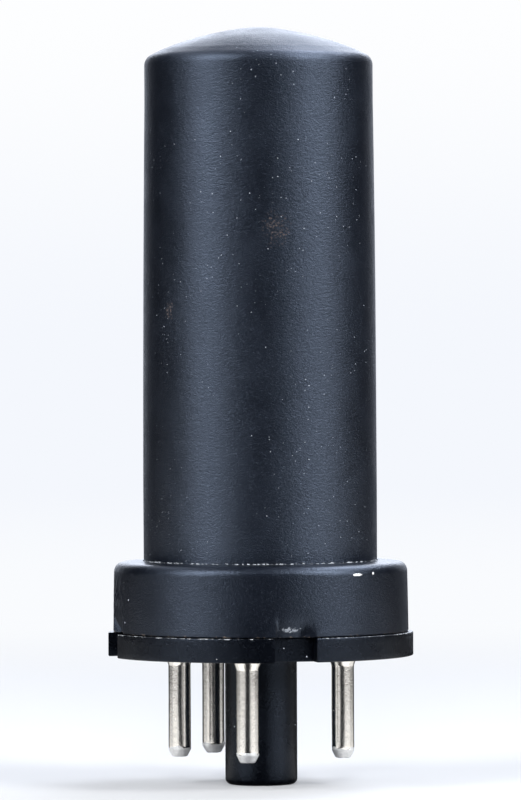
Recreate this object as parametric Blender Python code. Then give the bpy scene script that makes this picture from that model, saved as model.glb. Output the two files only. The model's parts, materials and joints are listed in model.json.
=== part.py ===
"""A metal-shell rectifier tube on a five-pin octal base, built piece by piece.

Metres, +Z up. The origin is the middle of the locating plug's flat end, the lowest point of the
tube, on its axis. The locating key points to +Y. Heights that are fixed to the base are counted
from the seat, the underside of the base wafer, which is SEAT above the origin.
"""

import math

import bmesh
import bpy
from mathutils import Matrix, Vector

MM = 0.001

# Clearances.
FIT = 0.06 * MM  # between two pieces that are pressed, sealed or welded together
LOOSE = 0.15 * MM  # between two pieces that are slid together

# Envelope: a drawn steel shell with a domed end and an outward flange.
SEATED_HEIGHT = 66.4 * MM  # seat to the top of the dome
SHELL_RADIUS = 12.3 * MM  # outside, at the foot of the wall
SHELL_TAPER = 0.25 * MM  # how much narrower the wall is where the dome starts
SHELL_WALL = 0.6 * MM
DOME_RADIUS = 21.0 * MM
DOME_CORNER = 2.3 * MM
FLANGE_FILLET = 0.35 * MM

# Skirt: the painted collar that closes over the flange and is crimped to the base.
SHOULDER_WIDTH = 3.15 * MM  # from the shell's wall to the skirt's wall
SHOULDER_CORNER = 1.2 * MM
SHOULDER_FALL = 0.15 * MM  # how far the top of the skirt slopes down to its corner
SKIRT_TOP = 10.0 * MM  # above the seat
SKIRT_FLARE = 0.15 * MM
SKIRT_WALL = 0.6 * MM
CRIMPS = 4
CRIMP_CLEAR = 0.25 * MM  # from a punched crimp to the sides and floor of its notch
CRIMP_FLAT = 1.0 * MM  # height of the punched flat above the skirt's edge
CRIMP_RAMP = 1.1 * MM

# Octal base: a moulded wafer with the hollow locating plug and its key.
WAFER_OVERHANG = 0.5 * MM
WAFER_RIM = 2.5 * MM
WAFER_FLOOR = 3.2 * MM  # thickness where the pins pass through
BOSS_TOP = 5.2 * MM
BOSS_WALL = 1.5 * MM
NOTCH_WIDTH = 4.5 * MM
NOTCH_DEPTH = 2.15 * MM
PLUG_RADIUS = 3.8 * MM
PLUG_LENGTH = 13.6 * MM
PLUG_WALL = 1.1 * MM
PLUG_END = 1.2 * MM
PLUG_CORNER = 0.6 * MM
KEY_WIDTH = 2.2 * MM
KEY_HEIGHT = 1.15 * MM
KEY_END = 1.0 * MM  # length of the lead-in at the key's lower end

# Base pins: hollow, swaged into the wafer, tipped with solder.
PIN_CIRCLE = 17.45 * MM
PIN_NUMBERS = (1, 2, 4, 6, 8)
PIN_RADIUS = 1.18 * MM
PIN_BORE = 0.72 * MM
PIN_LENGTH = 10.8 * MM
PIN_COLLAR = 0.24 * MM  # how far the collar stands out of the pin
PIN_COLLAR_HEIGHT = 1.1 * MM
PIN_FLARE = 0.42 * MM  # how far the swaged end stands out of the pin
PIN_FLARE_HEIGHT = 0.35 * MM
PIN_NOSE = 0.95 * MM
PIN_NOSE_DRAW = 0.38 * MM  # how much narrower the pin is at its end
PIN_EDGE = 0.18 * MM  # wall of the pin at its end
PIN_LIP = 0.3 * MM  # how far the solder stands out of the pin's end
SOLDER_DEPTH = 2.4 * MM  # how far the solder runs up the bore

# Stem: header, insert, glass button and exhaust tube.
HEADER_WALL = 0.8 * MM
HEADER_RISE = 3.8 * MM  # flange top to plateau top
INSERT_WALL = 0.7 * MM
INSERT_FLANGE = 1.1 * MM
INSERT_DEPTH = 2.9 * MM
BUTTON_RADIUS = 7.3 * MM
BUTTON_THICKNESS = 2.9 * MM
LEAD_CIRCLE = 9.2 * MM
LEAD_RADIUS = 0.35 * MM
EXHAUST_RADIUS = 1.5 * MM
EXHAUST_WALL = 0.5 * MM
EXHAUST_CLEAR = 4.2 * MM  # from the sealed tip to the closed end of the plug

# Electrodes: two plates side by side along X, each round its own cathode.
PLATE_SPACING = 10.4 * MM
PLATE_RADIUS = 2.6 * MM  # inside, round the cathode
PLATE_SHEET = 0.25 * MM
ROD_SPACING = 12.8 * MM
ROD_RADIUS = 0.4 * MM
ROD_STAND = 1.9 * MM  # rod above the upper mica
ROD_FOOT = 3.2 * MM  # rod below the lower mica
CATHODE_RADIUS = 1.1 * MM
CATHODE_WALL = 0.25 * MM
CATHODE_STAND = 0.9 * MM
CATHODE_FOOT = 2.2 * MM
HEATER_RADIUS = 0.2 * MM
HEATER_PITCH = 0.8 * MM  # between the two legs of one heater
HEATER_CLEAR = 0.6 * MM  # from the header's plateau to the heaters' ends
MICA_THICKNESS = 0.4 * MM
MICA_TEETH = 16
MICA_TOOTH = 0.5 * MM
LOWER_MICA_RISE = 5.4 * MM  # header plateau to lower mica
UPPER_MICA_DROP = 4.0 * MM  # below the end of the shell's straight wall
FERRULE_WALL = 0.4 * MM
FERRULE_HEIGHT = 0.7 * MM
RIBBON_SHEET = 0.15 * MM
RIBBON_WIDTH = 0.8 * MM
GETTER_LENGTH = 4.0 * MM
POST_HEIGHT = 2.6 * MM

# Facets.
ROUND_STEPS = 40
WAFER_STEPS = 80
SKIRT_PLAIN_STEPS = 13  # between one crimp and the next
PIN_STEPS = 14
HOLE_STEPS = 16
ARC_POINTS = 4

# Worked out from the sizes above.
SEAT = PLUG_LENGTH
APEX = SEAT + SEATED_HEIGHT
DOME_FOOT_RADIUS = SHELL_RADIUS - SHELL_TAPER
DOME_CENTRE = APEX - DOME_RADIUS
CORNER_CENTRE_RADIUS = DOME_FOOT_RADIUS - DOME_CORNER
CORNER_CENTRE = DOME_CENTRE + math.sqrt((DOME_RADIUS - DOME_CORNER) ** 2 - CORNER_CENTRE_RADIUS**2)
CORNER_ANGLE = math.atan2(CORNER_CENTRE - DOME_CENTRE, CORNER_CENTRE_RADIUS)
SKIRT_RADIUS = SHELL_RADIUS + SHOULDER_WIDTH
SKIRT_FOOT_RADIUS = SKIRT_RADIUS + SKIRT_FLARE
WAFER_RADIUS = SKIRT_FOOT_RADIUS + WAFER_OVERHANG
CRIMP_DEPTH = NOTCH_DEPTH - WAFER_OVERHANG - SKIRT_WALL - CRIMP_CLEAR
CRIMP_HALF_ANGLE = math.asin((NOTCH_WIDTH / 2 - CRIMP_CLEAR) / SKIRT_FOOT_RADIUS)
PLUG_BORE = PLUG_RADIUS - PLUG_WALL
PIN_NOSE_RADIUS = PIN_RADIUS - PIN_NOSE_DRAW
BOSS_RADIUS = SKIRT_FOOT_RADIUS - SKIRT_WALL - LOOSE
SKIRT_ROOF = SEAT + SKIRT_TOP
SHELL_FLANGE_TOP = SKIRT_ROOF - SKIRT_WALL - SHOULDER_FALL - FIT
SKIRT_INNER_CORNER = max(SHOULDER_CORNER - SKIRT_WALL, SKIRT_WALL / 4)
FLANGE_RADIUS = SKIRT_RADIUS - SKIRT_WALL - SKIRT_INNER_CORNER
HEADER_FLANGE_TOP = SHELL_FLANGE_TOP - SHELL_WALL - FIT
PLATEAU = HEADER_FLANGE_TOP + HEADER_RISE
HEADER_RADIUS = SHELL_RADIUS - SHELL_WALL - FIT
INSERT_RADIUS = BUTTON_RADIUS + FIT + INSERT_WALL
BUTTON_TOP = PLATEAU + FIT
BUTTON_BOTTOM = BUTTON_TOP - BUTTON_THICKNESS
PIN_TIP = SEAT - PIN_LENGTH
PIN_END = PIN_TIP + PIN_LIP
SOLDER_TOP = PIN_TIP + SOLDER_DEPTH
LOWER_MICA = PLATEAU + LOWER_MICA_RISE
UPPER_MICA = CORNER_CENTRE - UPPER_MICA_DROP
CATHODE_END = LOWER_MICA - CATHODE_FOOT
HEATER_END = PLATEAU + HEATER_CLEAR
ROD_END = LOWER_MICA - ROD_FOOT
LEAD_LAP_TOP = LOWER_MICA - FIT - FERRULE_HEIGHT - LOOSE * 2  # where a lead welded to a rod ends


# Materials ---------------------------------------------------------------------------------------

def material(name, colour, roughness, metallic):
    """A plain finish: base colour, roughness and metallic value."""
    made = bpy.data.materials.new(name)
    made.use_nodes = True
    shader = made.node_tree.nodes["Principled BSDF"]
    shader.inputs["Base Color"].default_value = (*colour, 1.0)
    shader.inputs["Roughness"].default_value = roughness
    shader.inputs["Metallic"].default_value = metallic
    return made


# Shapes ------------------------------------------------------------------------------------------

def finished(name, bm, finish, at=(0.0, 0.0, 0.0)):
    """Turns a bmesh into a named object with its faces pointing out."""
    bmesh.ops.recalc_face_normals(bm, faces=bm.faces)
    mesh = bpy.data.meshes.new(name)
    bm.to_mesh(mesh)
    bm.free()
    mesh.materials.append(finish)
    mesh.shade_smooth()
    mesh.set_sharp_from_angle(angle=math.radians(35))
    made = bpy.data.objects.new(name, mesh)
    made.location = at
    bpy.context.scene.collection.objects.link(made)
    return made


def arc(centre, radius, start, end, points=ARC_POINTS):
    """Points (r, z) round a centre, from one angle in degrees to another, both ends included."""
    angles = [math.radians(start + (end - start) * i / points) for i in range(points + 1)]
    return [(centre[0] + radius * math.cos(a), centre[1] + radius * math.sin(a)) for a in angles]


def spun(outline, steps):
    """Spins an outline of (r, z) points round the Z axis; points on the axis become one."""
    bm = bmesh.new()
    corners = [bm.verts.new((r, 0.0, z)) for r, z in outline]
    pairs = list(zip(corners, corners[1:]))
    if outline[0][0] > 0:
        pairs.append((corners[-1], corners[0]))
    edges = [bm.edges.new(pair) for pair in pairs]
    bmesh.ops.spin(
        bm, geom=corners + edges, cent=(0, 0, 0), axis=(0, 0, 1),
        angle=math.tau, steps=steps, use_merge=True,
    )
    bmesh.ops.remove_doubles(bm, verts=bm.verts, dist=0.0005 * MM)
    return bm


def swept(outline, angles):
    """A ring with an outline of (r, z) points at each of the given angles."""
    bm = bmesh.new()
    columns = [[bm.verts.new((*on_circle(r * 2, a), z)) for r, z in outline] for a in angles]
    for here, there in zip(columns, columns[1:] + columns[:1]):
        for i in range(len(outline)):
            bm.faces.new((here[i - 1], here[i], there[i], there[i - 1]))
    return bm


def turned(name, outline, finish, steps=ROUND_STEPS, at=(0.0, 0.0, 0.0)):
    """A turned piece."""
    return finished(name, spun(outline, steps), finish, at)


def prism(outline, low, high):
    """A bmesh with a flat outline of (x, y) points raised from one height to another."""
    bm = bmesh.new()
    face = bm.faces.new([bm.verts.new((x, y, low)) for x, y in outline])
    raised = bmesh.ops.extrude_face_region(bm, geom=[face])["geom"]
    tops = [v for v in raised if isinstance(v, bmesh.types.BMVert)]
    bmesh.ops.translate(bm, verts=tops, vec=(0, 0, high - low))
    return bm


def add_cylinder(bm, centre, radius, low, high, steps=HOLE_STEPS):
    """Adds an upright cylinder to a bmesh."""
    bmesh.ops.create_cone(
        bm, cap_ends=True, segments=steps, radius1=radius, radius2=radius, depth=high - low,
        matrix=Matrix.Translation((centre[0], centre[1], (low + high) / 2)),
    )


def add_box(bm, size, matrix):
    """Adds a box of the given size, placed by a matrix, to a bmesh."""
    bmesh.ops.create_cube(bm, size=1.0, matrix=matrix @ Matrix.Diagonal((*size, 1.0)))


def helper(name, bm):
    """A cutter or an added shape for a Boolean; it isn't a piece itself."""
    made = finished(name, bm, bpy.data.materials["phenolic"])
    made.hide_render = True
    made.display_type = "WIRE"
    return made


def boolean(piece, other, operation):
    """Adds an exact Boolean modifier to a piece."""
    step = piece.modifiers.new(other.name, "BOOLEAN")
    step.operation = operation
    step.solver = "EXACT"
    step.object = other


def rounded_path(points, bend):
    """A path with each inner corner replaced by three points of a bend."""
    points = [Vector(p) for p in points]
    path = [points[0]]
    for before, corner, after in zip(points, points[1:], points[2:]):
        reach = min(bend, (corner - before).length / 2.2, (after - corner).length / 2.2)
        start = corner + (before - corner).normalized() * reach
        end = corner + (after - corner).normalized() * reach
        path += [start, (start + end + corner * 2) / 4, end]
    return path + [points[-1]]


def wire(name, points, radius, finish, bend=0.8 * MM):
    """A round wire along a path, as a bevelled curve with filled caps."""
    curve = bpy.data.curves.new(name, "CURVE")
    curve.dimensions = "3D"
    curve.bevel_depth = radius
    curve.bevel_resolution = 2
    curve.use_fill_caps = True
    path = rounded_path(points, bend)
    spline = curve.splines.new("POLY")
    spline.points.add(len(path) - 1)
    for point, place in zip(spline.points, path):
        point.co = (*place, 1.0)
    curve.materials.append(finish)
    made = bpy.data.objects.new(name, curve)
    bpy.context.scene.collection.objects.link(made)
    return made


def ribbon(name, start, end, low, high, finish):
    """A flat strip standing on edge between two points of the plan."""
    run = Vector(end) - Vector(start)
    side = Vector((-run.y, run.x)).normalized() * RIBBON_SHEET / 2
    a, b = Vector(start), Vector(end)
    outline = [tuple(a - side), tuple(b - side), tuple(b + side), tuple(a + side)]
    return finished(name, prism(outline, low, high), finish)


# Places ------------------------------------------------------------------------------------------

def pin_angle(number):
    """Pins run counter-clockwise seen from above, the first half a step past the key at +Y."""
    step = math.tau / 8
    return math.pi / 2 + step / 2 + step * (number - 1)


def on_circle(diameter, angle):
    """A point of the plan on a circle round the axis."""
    return (diameter / 2 * math.cos(angle), diameter / 2 * math.sin(angle))


def shell_inside(height):
    """The inner radius of the shell's tapered wall at a height."""
    share = (height - SHELL_FLANGE_TOP) / (CORNER_CENTRE - SHELL_FLANGE_TOP)
    return SHELL_RADIUS - SHELL_TAPER * share - SHELL_WALL


# Envelope ----------------------------------------------------------------------------------------

def make_shell(finish):
    """The drawn shell: dome, corner, tapered wall and foot flange, with an open underside."""
    corner = (CORNER_CENTRE_RADIUS, CORNER_CENTRE)
    turn = math.degrees(CORNER_ANGLE)
    fillet = FLANGE_FILLET + FIT
    outside = arc((0.0, DOME_CENTRE), DOME_RADIUS, 90, turn, 6)
    outside += arc(corner, DOME_CORNER, turn, 0, 5)[1:]
    outside += arc((SHELL_RADIUS + fillet, SHELL_FLANGE_TOP + fillet), fillet, 180, 270, 2)
    outside += [(FLANGE_RADIUS, SHELL_FLANGE_TOP), (FLANGE_RADIUS, SHELL_FLANGE_TOP - SHELL_WALL)]
    bore = SHELL_RADIUS - SHELL_WALL
    inside = [(bore, SHELL_FLANGE_TOP - SHELL_WALL), (bore, SHELL_FLANGE_TOP)]
    inside += arc(corner, DOME_CORNER - SHELL_WALL, 0, turn, 3)
    inside += arc((0.0, DOME_CENTRE), DOME_RADIUS - SHELL_WALL, turn, 90, 5)[1:]
    outside[0] = (0.0, APEX)
    inside[-1] = (0.0, APEX - SHELL_WALL)
    return turned("shell", outside + inside, finish)


def crimp_share(x, y, z):
    """How much of the crimp's depth the skirt's wall is pushed in at a point."""
    quarter = math.tau / CRIMPS
    off = abs((math.atan2(y, x) + quarter / 2) % quarter - quarter / 2)
    across = max(0.0, 1.0 - (off / CRIMP_HALF_ANGLE) ** 3)
    above = z - (SEAT + WAFER_RIM + FIT) - CRIMP_FLAT
    along = 1.0 - min(1.0, max(0.0, above / CRIMP_RAMP))
    return across * along


def make_header_skirt(finish):
    """The skirt: a roof over the flange, a rounded shoulder and a wall crimped in at its foot."""
    foot = SEAT + WAFER_RIM + FIT
    roof_hole = SHELL_RADIUS + LOOSE
    corner_centre = (SKIRT_RADIUS - SHOULDER_CORNER, SKIRT_ROOF - SHOULDER_FALL - SHOULDER_CORNER)
    levels = [foot + CRIMP_FLAT + CRIMP_RAMP, foot + CRIMP_FLAT + CRIMP_RAMP / 2, foot + CRIMP_FLAT]
    outside = [(roof_hole, SKIRT_ROOF)] + arc(corner_centre, SHOULDER_CORNER, 90, 0, 3)
    outside += [(SKIRT_FOOT_RADIUS, z) for z in levels + [foot]]
    inner_centre = (FLANGE_RADIUS, SKIRT_ROOF - SHOULDER_FALL - SKIRT_WALL - SKIRT_INNER_CORNER)
    inside = [(SKIRT_FOOT_RADIUS - SKIRT_WALL, z) for z in [foot] + levels[::-1]]
    inside += arc(inner_centre, SKIRT_INNER_CORNER, 0, 90, 2)
    inside += [(roof_hole, SKIRT_ROOF - SKIRT_WALL)]
    angles = []
    plain = math.tau / CRIMPS - CRIMP_HALF_ANGLE * 2
    for i in range(CRIMPS):
        middle = math.tau * i / CRIMPS
        angles += [middle + CRIMP_HALF_ANGLE * j / 3 for j in range(-3, 4)]
        angles += [middle + CRIMP_HALF_ANGLE + plain * j / SKIRT_PLAIN_STEPS
                   for j in range(1, SKIRT_PLAIN_STEPS)]
    bm = swept(outside + inside, angles)
    for v in bm.verts:
        inwards = CRIMP_DEPTH * crimp_share(*v.co)
        plan = Vector((v.co.x, v.co.y, 0.0))
        v.co -= plan.normalized() * inwards
    return finished("header_skirt", bm, finish)


# Base --------------------------------------------------------------------------------------------

def make_octal_base(finish):
    """The moulding: notched wafer, boss inside the skirt, hollow plug and key."""
    outline = [
        (0.0, PLUG_END),
        (PLUG_BORE, PLUG_END),
        (PLUG_BORE, SEAT + WAFER_FLOOR),
        (BOSS_RADIUS - BOSS_WALL, SEAT + WAFER_FLOOR),
        (BOSS_RADIUS - BOSS_WALL, SEAT + BOSS_TOP),
        (BOSS_RADIUS, SEAT + BOSS_TOP),
        (BOSS_RADIUS, SEAT + WAFER_RIM),
        (WAFER_RADIUS, SEAT + WAFER_RIM),
        (WAFER_RADIUS, SEAT),
        (PLUG_RADIUS, SEAT),
    ]
    outline += arc((PLUG_RADIUS - PLUG_CORNER, PLUG_CORNER), PLUG_CORNER, 0, -90, 3)
    outline += [(0.0, 0.0)]
    base = turned("octal_base", outline, finish, WAFER_STEPS)

    key_reach = PLUG_RADIUS + KEY_HEIGHT
    key_root = PLUG_RADIUS - PLUG_WALL / 2
    key_top = SEAT + WAFER_FLOOR / 2
    key_side = [
        (key_root, KEY_END),
        (PLUG_RADIUS + KEY_HEIGHT / 2, KEY_END),
        (key_reach, KEY_END + KEY_HEIGHT),
        (key_reach, key_top),
        (key_root, key_top),
    ]
    key = prism(key_side, -KEY_WIDTH / 2, KEY_WIDTH / 2)
    # The side view (y, z) is laid out in x and y, so it is stood up to face along X.
    upright = Matrix(((0, 0, 1, 0), (1, 0, 0, 0), (0, 1, 0, 0), (0, 0, 0, 1)))
    bmesh.ops.transform(key, verts=key.verts, matrix=upright)
    boolean(base, helper("key_shape", key), "UNION")

    notches = bmesh.new()
    size = (NOTCH_DEPTH * 2, NOTCH_WIDTH, BOSS_TOP * 3)
    for i in range(CRIMPS):
        turn = Matrix.Rotation(math.tau * i / CRIMPS, 4, "Z")
        add_box(notches, size, turn @ Matrix.Translation((WAFER_RADIUS, 0, SEAT + BOSS_TOP / 2)))
    boolean(base, helper("notch_cutters", notches), "DIFFERENCE")

    holes = bmesh.new()
    for number in PIN_NUMBERS:
        centre = on_circle(PIN_CIRCLE, pin_angle(number))
        add_cylinder(holes, centre, PIN_RADIUS + FIT, SEAT - 1 * MM, SEAT + WAFER_FLOOR + 1 * MM)
    boolean(base, helper("pin_hole_cutters", holes), "DIFFERENCE")
    return base


def make_pin(number, finish):
    """A hollow pin: collar under the wafer, swaged flare above it, tapered nose."""
    top = SEAT + WAFER_FLOOR + FIT
    outline = [
        (PIN_BORE, top + PIN_FLARE_HEIGHT),
        (PIN_RADIUS + PIN_FLARE, top + PIN_FLARE_HEIGHT),
        (PIN_RADIUS + PIN_FLARE, top),
        (PIN_RADIUS, top),
        (PIN_RADIUS, SEAT - FIT),
        (PIN_RADIUS + PIN_COLLAR, SEAT - FIT),
        (PIN_RADIUS, SEAT - PIN_COLLAR_HEIGHT),
        (PIN_RADIUS, PIN_TIP + PIN_NOSE),
        (PIN_NOSE_RADIUS, PIN_END),
        (PIN_NOSE_RADIUS - PIN_EDGE, PIN_END),
        (PIN_BORE, PIN_TIP + PIN_NOSE),
    ]
    place = (*on_circle(PIN_CIRCLE, pin_angle(number)), 0.0)
    return turned(f"base_pin_{number}", outline, finish, PIN_STEPS, place)


def make_solder(number, finish):
    """The solder that closes a pin's end and holds the lead in its bore."""
    socket = LEAD_RADIUS + FIT / 2
    neck = PIN_NOSE_RADIUS - PIN_EDGE - FIT
    outline = [
        (0.0, PIN_TIP + PIN_NOSE),
        (socket, PIN_TIP + PIN_NOSE),
        (socket, SOLDER_TOP),
        (PIN_BORE - FIT, SOLDER_TOP),
        (PIN_BORE - FIT, PIN_TIP + PIN_NOSE + FIT),
        (neck, PIN_END),
        (neck, PIN_TIP + PIN_LIP / 2),
        (neck * 0.7, PIN_TIP),
        (0.0, PIN_TIP),
    ]
    place = (*on_circle(PIN_CIRCLE, pin_angle(number)), 0.0)
    return turned(f"pin_solder_{number}", outline, finish, PIN_STEPS, place)


# Stem --------------------------------------------------------------------------------------------

def make_header(finish):
    """The steel header: a flange welded under the shell's, and a plateau inside the shell."""
    hole = INSERT_RADIUS + FIT
    outline = [
        (hole, PLATEAU),
        (HEADER_RADIUS - HEADER_WALL / 2, PLATEAU),
        (HEADER_RADIUS, PLATEAU - HEADER_WALL / 2),
        (HEADER_RADIUS, HEADER_FLANGE_TOP),
        (FLANGE_RADIUS, HEADER_FLANGE_TOP),
        (FLANGE_RADIUS, HEADER_FLANGE_TOP - HEADER_WALL),
        (HEADER_RADIUS - HEADER_WALL, HEADER_FLANGE_TOP - HEADER_WALL),
        (HEADER_RADIUS - HEADER_WALL, PLATEAU - HEADER_WALL),
        (hole, PLATEAU - HEADER_WALL),
    ]
    return turned("header", outline, finish)


def make_header_insert(finish):
    """The sealing ring that carries the glass button in the header's hole."""
    bore = BUTTON_RADIUS + FIT
    top = PLATEAU + FIT
    outline = [
        (bore, top + INSERT_WALL / 2),
        (INSERT_RADIUS + INSERT_FLANGE, top + INSERT_WALL / 2),
        (INSERT_RADIUS + INSERT_FLANGE, top),
        (INSERT_RADIUS, top),
        (INSERT_RADIUS, top - INSERT_DEPTH),
        (bore, top - INSERT_DEPTH),
    ]
    return turned("header_insert", outline, finish)


def make_glass_button(finish):
    """The glass disc that seals the leads and the exhaust tube."""
    dish = BUTTON_THICKNESS / 8
    hole = EXHAUST_RADIUS + FIT
    outline = [
        (hole, BUTTON_TOP - dish),
        (BUTTON_RADIUS - dish * 2, BUTTON_TOP - dish),
        (BUTTON_RADIUS, BUTTON_TOP),
        (BUTTON_RADIUS, BUTTON_BOTTOM),
        (BUTTON_RADIUS - dish * 2, BUTTON_BOTTOM + dish),
        (hole, BUTTON_BOTTOM + dish),
    ]
    button = turned("glass_button", outline, finish)
    holes = bmesh.new()
    for number in PIN_NUMBERS:
        centre = on_circle(LEAD_CIRCLE, pin_angle(number))
        add_cylinder(holes, centre, LEAD_RADIUS + FIT, BUTTON_BOTTOM - 1 * MM, BUTTON_TOP + 1 * MM, 12)
    boolean(button, helper("lead_hole_cutters", holes), "DIFFERENCE")
    return button


def make_exhaust_tube(finish):
    """The glass tube the air left by, drawn to a sealed tip inside the plug."""
    tip = PLUG_END + EXHAUST_CLEAR
    bore = EXHAUST_RADIUS - EXHAUST_WALL
    neck = tip + EXHAUST_RADIUS * 3
    outline = [
        (0.0, neck - EXHAUST_WALL),
        (bore, neck + EXHAUST_WALL),
        (bore, BUTTON_TOP - FIT),
        (EXHAUST_RADIUS, BUTTON_TOP - FIT),
        (EXHAUST_RADIUS, neck),
        (EXHAUST_RADIUS * 0.72, neck - EXHAUST_RADIUS * 1.4),
        (EXHAUST_RADIUS * 0.3, tip + EXHAUST_WALL / 2),
        (0.0, tip),
    ]
    return turned("exhaust_tube", outline, finish, PIN_STEPS)


def lead_below(number):
    """The lower run of a lead, from the solder up its pin and across to the glass button."""
    pin = on_circle(PIN_CIRCLE, pin_angle(number))
    seal = on_circle(LEAD_CIRCLE, pin_angle(number))
    return [
        (*pin, PIN_TIP + PIN_NOSE + FIT),
        (*pin, SEAT + WAFER_FLOOR + 1.6 * MM),
        (*seal, BUTTON_BOTTOM - 1.0 * MM),
    ]


def make_leads(finish):
    """The five leads: two to the plates, two to the heaters, one to the getter and the header."""
    rod_x, rod_y = PLATE_SPACING / 2, ROD_SPACING / 2
    aside = (ROD_RADIUS + LEAD_RADIUS + FIT) / math.sqrt(2)
    bend = BUTTON_TOP + 1.0 * MM
    by_heater = HEATER_RADIUS + LEAD_RADIUS + FIT
    by_link = CATHODE_RADIUS + FIT + RIBBON_SHEET + FIT + LEAD_RADIUS
    ends = {
        1: [(*on_circle(LEAD_CIRCLE, pin_angle(1)), BUTTON_TOP + POST_HEIGHT)],
        2: [(-PLATE_SPACING / 2 - HEATER_PITCH / 2, by_heater, HEATER_END + 0.9 * MM),
            (-PLATE_SPACING / 2 - HEATER_PITCH / 2, by_heater, CATHODE_END - 0.5 * MM)],
        4: [(-rod_x + aside, -rod_y + aside, ROD_END + LOOSE),
            (-rod_x + aside, -rod_y + aside, LEAD_LAP_TOP)],
        6: [(rod_x - aside, -rod_y + aside, ROD_END + LOOSE),
            (rod_x - aside, -rod_y + aside, LEAD_LAP_TOP)],
        8: [(on_circle(LEAD_CIRCLE, pin_angle(8))[0], by_link, CATHODE_END),
            (on_circle(LEAD_CIRCLE, pin_angle(8))[0], by_link, CATHODE_END + 1.3 * MM)],
    }
    for number in PIN_NUMBERS:
        seal = on_circle(LEAD_CIRCLE, pin_angle(number))
        above = [] if number == 1 else [(*seal, bend + (0.5 * MM if number == 8 else 0.0))]
        wire(f"lead_{number}", lead_below(number) + above + ends[number], LEAD_RADIUS, finish)


# Electrodes --------------------------------------------------------------------------------------

def half_plate(side):
    """Half of a plate's section, bulging to +X or -X: round the cathode, flat wings, rod grips."""
    def points(grow):
        centre, grip = PLATE_RADIUS + grow, ROD_RADIUS + FIT + grow
        wing = (FIT / 2 + grow) * side
        rod = ROD_SPACING / 2
        start = math.asin(min(1.0, abs(wing) / centre))
        hook = math.asin(min(1.0, abs(wing) / grip))
        run = [(side * grip * math.sin(a), -rod - grip * math.cos(a))
               for a in [hook + (math.pi - 2 * hook) * i / 6 for i in range(7)]]
        run += [(side * centre * math.sin(a), -centre * math.cos(a))
                for a in [start + (math.pi - 2 * start) * i / 12 for i in range(13)]]
        run += [(side * grip * math.sin(a), rod - grip * math.cos(a))
                for a in [hook + (math.pi - 2 * hook) * i / 6 for i in range(7)]]
        return run
    return points(PLATE_SHEET) + points(0.0)[::-1]


def make_plates(finish):
    """Two plates, each of two formed halves closed round the cathode and the support rods."""
    low = LOWER_MICA + MICA_THICKNESS + FIT
    high = UPPER_MICA - FIT
    for name, x in (("a", PLATE_SPACING / 2), ("b", -PLATE_SPACING / 2)):
        for half, side in (("right", 1), ("left", -1)):
            bm = prism(half_plate(side), low, high)
            finished(f"plate_{name}_{half}", bm, finish, (x, 0.0, 0.0))


def make_support_rods(finish, ferrule_finish):
    """Four rods through both micas, each with a ferrule under the lower and over the upper mica."""
    high = UPPER_MICA + MICA_THICKNESS + ROD_STAND
    bore = ROD_RADIUS + FIT
    for name, x in (("a", PLATE_SPACING / 2), ("b", -PLATE_SPACING / 2)):
        for place, y in (("front", -ROD_SPACING / 2), ("back", ROD_SPACING / 2)):
            rod = bmesh.new()
            add_cylinder(rod, (0, 0), ROD_RADIUS, ROD_END, high, 12)
            finished(f"support_rod_{name}_{place}", rod, finish, (x, y, 0.0))
            for level, z in (("lower", LOWER_MICA - FIT - FERRULE_HEIGHT),
                             ("upper", UPPER_MICA + MICA_THICKNESS + FIT)):
                ring = [(bore, z), (bore + FERRULE_WALL, z),
                        (bore + FERRULE_WALL, z + FERRULE_HEIGHT), (bore, z + FERRULE_HEIGHT)]
                turned(f"ferrule_{name}_{place}_{level}", ring, ferrule_finish, 12, (x, y, 0.0))


def make_mica(name, low, finish):
    """A mica spacer: toothed edge against the shell, holes for rods and cathodes."""
    reach = shell_inside(low) - LOOSE
    outline = []
    for i in range(MICA_TEETH):
        for share, depth in ((0.0, 0.0), (0.2, 0.0), (0.35, MICA_TOOTH), (0.85, MICA_TOOTH)):
            angle = math.tau * (i + share) / MICA_TEETH
            outline.append(on_circle((reach - depth) * 2, angle))
    mica = finished(name, prism(outline, low, low + MICA_THICKNESS), finish)
    holes = bmesh.new()
    for x in (PLATE_SPACING / 2, -PLATE_SPACING / 2):
        add_cylinder(holes, (x, 0), CATHODE_RADIUS + FIT, low - 1 * MM, low + 1 * MM, 20)
        for y in (ROD_SPACING / 2, -ROD_SPACING / 2):
            add_cylinder(holes, (x, y), ROD_RADIUS + FIT, low - 1 * MM, low + 1 * MM, 12)
    boolean(mica, helper(f"{name}_hole_cutters", holes), "DIFFERENCE")


def make_cathodes(finish):
    """Two cathode sleeves, from below the lower mica to above the upper one."""
    top = UPPER_MICA + MICA_THICKNESS + CATHODE_STAND
    bore = CATHODE_RADIUS - CATHODE_WALL
    ring = [(bore, CATHODE_END), (CATHODE_RADIUS, CATHODE_END), (CATHODE_RADIUS, top), (bore, top)]
    for name, x in (("a", PLATE_SPACING / 2), ("b", -PLATE_SPACING / 2)):
        turned(f"cathode_{name}", ring, finish, 20, (x, 0.0, 0.0))


def make_heaters(finish):
    """A hairpin heater in each cathode, its two ends out below."""
    top = UPPER_MICA - 1.0 * MM
    for name, x in (("a", PLATE_SPACING / 2), ("b", -PLATE_SPACING / 2)):
        left, right = x - HEATER_PITCH / 2, x + HEATER_PITCH / 2
        path = [(left, 0, HEATER_END), (left, 0, top), (right, 0, top), (right, 0, HEATER_END)]
        wire(f"heater_{name}", path, HEATER_RADIUS, finish, HEATER_PITCH / 2)


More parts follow.
